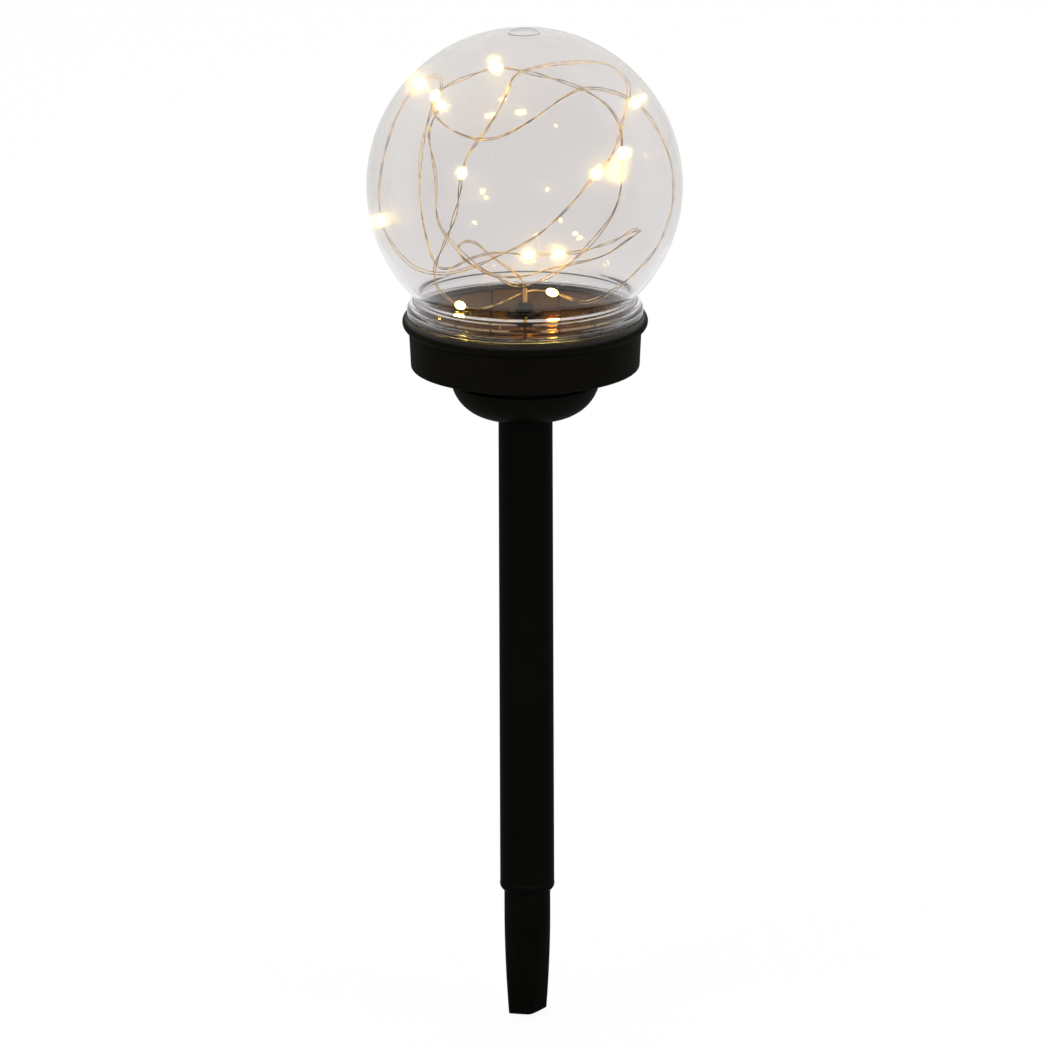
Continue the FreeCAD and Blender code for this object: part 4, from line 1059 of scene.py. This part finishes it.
# The floor, the white surround and the lamps
studio = {
    "floorSize": 14.0,  # from the middle to each edge
    "floorGap": 0.2 * mm,
    "floorColour": 0.93,
    "floorRoughness": 0.9,
    "shadowShare": 0.08,
    "worldFill": 0.75,
    "seenWhite": 1.0,
    # A polished surface mirrors a room that is dimmer in front of the object
    "frontWhite": 0.22,
    "floorReach": 0.6,
    "skyReach": 0.4,
    # A satin surface mirrors a dark floor and a sky that grows brighter upwards
    "satinFloor": 0.01,
    "satinLow": 0.03,
    "satinFrom": 0.0,
    "satinTo": 0.32,
}
lampAim = (0, 0, 0.15)
lamps = {
    "leftSoftbox": {"place": (-1.2, -1.0, 1.1), "aim": lampAim, "size": 0.9, "power": 9},
    "rightSoftbox": {"place": (1.4, -0.8, 0.9), "aim": lampAim, "size": 0.9, "power": 7},
    "backSoftbox": {"place": (0.2, 1.5, 1.2), "aim": (0, 0, 0.2), "size": 0.9, "power": 6},
}


def whiteSeen(tree, places, reach, satinLevel, values):
    # Gives 1 for the rays that see the background (direct, mirrored or through the clear ball),
    # and how white it is for them. What isn't mirrored sees plain white
    rays = addNode(tree, "ShaderNodeLightPath")

    def larger(first, second):
        node = addNode(tree, "ShaderNodeMath", operation="MAXIMUM")
        tree.links.new(first, node.inputs[0])
        tree.links.new(rays.outputs[second], node.inputs[1])
        return node.outputs["Value"]

    def mixed(share, first, second):
        # Inputs 2 and 3 are the Mix node's numbers
        node = addNode(tree, "ShaderNodeMix")
        tree.links.new(share, node.inputs[0])
        for number, value in ((2, first), (3, second)):
            if isinstance(value, float):
                node.inputs[number].default_value = value
            else:
                tree.links.new(value, node.inputs[number])
        return node.outputs[0]

    seen = larger(larger(rays.outputs["Is Camera Ray"], "Is Glossy Ray"), "Is Transmission Ray")
    split = addNode(tree, "ShaderNodeSeparateXYZ")
    tree.links.new(places, split.inputs["Vector"])
    behind = addNode(tree, "ShaderNodeMapRange", interpolation_type="SMOOTHSTEP")
    behind.inputs["From Min"].default_value = -reach
    behind.inputs["From Max"].default_value = reach
    behind.inputs["To Min"].default_value = values["frontWhite"]
    behind.inputs["To Max"].default_value = values["seenWhite"]
    tree.links.new(split.outputs["Y"], behind.inputs["Value"])
    mirrored = mixed(rays.outputs["Is Singular Ray"], satinLevel, behind.outputs["Result"])
    return seen, mixed(rays.outputs["Glossy Depth"], values["seenWhite"], mirrored)


def makeFloor(values):
    mesh = bpy.data.meshes.new("studioFloor")
    low = cadBox[0].z - values["floorGap"]
    size = values["floorSize"]
    corners = [(-size, -size, low), (size, -size, low), (size, size, low), (-size, size, low)]
    mesh.from_pydata(corners, [], [(0, 1, 2, 3)])
    floor = bpy.data.objects.new("studioFloor", mesh)
    bpy.context.scene.collection.objects.link(floor)
    material, tree, shader = newMaterial("paleFloor")
    shader.inputs["Base Color"].default_value = (*[values["floorColour"]] * 3, 1)
    shader.inputs["Roughness"].default_value = values["floorRoughness"]
    shader.inputs["Specular IOR Level"].default_value = 0.0
    white = addNode(tree, "ShaderNodeEmission")
    share = addNode(tree, "ShaderNodeMath", operation="MULTIPLY")
    share.inputs[1].default_value = 1 - values["shadowShare"]
    places = objectPlaces(tree)
    seen, level = whiteSeen(tree, places, values["floorReach"], values["satinFloor"], values)
    tree.links.new(seen, share.inputs[0])
    tree.links.new(level, white.inputs["Strength"])
    mix = addNode(tree, "ShaderNodeMixShader")
    tree.links.new(share.outputs["Value"], mix.inputs["Fac"])
    tree.links.new(shader.outputs["BSDF"], mix.inputs[1])
    tree.links.new(white.outputs["Emission"], mix.inputs[2])
    # From below the floor is see-through, so that the underside can be looked at
    side = addNode(tree, "ShaderNodeNewGeometry")
    clear = addNode(tree, "ShaderNodeBsdfTransparent")
    oneSided = addNode(tree, "ShaderNodeMixShader")
    tree.links.new(side.outputs["Backfacing"], oneSided.inputs["Fac"])
    tree.links.new(mix.outputs["Shader"], oneSided.inputs[1])
    tree.links.new(clear.outputs["BSDF"], oneSided.inputs[2])
    tree.links.new(oneSided.outputs["Shader"], tree.nodes["Material Output"].inputs["Surface"])
    mesh.materials.append(material)


def makeWorld(values):
    world = bpy.data.worlds.new("studioWorld")
    bpy.context.scene.world = world
    world.use_nodes = True
    tree = world.node_tree
    background = tree.nodes["Background"]
    ways = addNode(tree, "ShaderNodeTexCoord")
    split = addNode(tree, "ShaderNodeSeparateXYZ")
    tree.links.new(ways.outputs["Generated"], split.inputs["Vector"])
    upward = addNode(tree, "ShaderNodeMapRange", interpolation_type="SMOOTHSTEP")
    upward.inputs["From Min"].default_value = values["satinFrom"]
    upward.inputs["From Max"].default_value = values["satinTo"]
    upward.inputs["To Min"].default_value = values["satinLow"]
    upward.inputs["To Max"].default_value = values["seenWhite"]
    tree.links.new(split.outputs["Z"], upward.inputs["Value"])
    satinLevel = upward.outputs["Result"]
    seen, level = whiteSeen(tree, ways.outputs["Generated"], values["skyReach"], satinLevel, values)
    strength = addNode(tree, "ShaderNodeMapRange")
    strength.inputs["To Min"].default_value = values["worldFill"]
    tree.links.new(level, strength.inputs["To Max"])
    tree.links.new(seen, strength.inputs["Value"])
    background.inputs["Color"].default_value = (1, 1, 1, 1)
    tree.links.new(strength.outputs["Result"], background.inputs["Strength"])


def addLamp(name, values):
    data = bpy.data.lights.new(name, "AREA")
    data.energy = values["power"]
    data.size = values["size"]
    lamp = bpy.data.objects.new(name, data)
    bpy.context.scene.collection.objects.link(lamp)
    lamp.visible_glossy = False
    lamp.visible_transmission = False
    place = Vector(values["place"])
    way = Vector(values["aim"]) - place
    lamp.matrix_world = Matrix.Translation(place) @ way.to_track_quat("-Z", "Y").to_matrix().to_4x4()


makeFloor(studio)
makeWorld(studio)
for lampName, lampValues in lamps.items():
    addLamp(lampName, lampValues)
print("studio made")

bpy.context.view_layer.update()
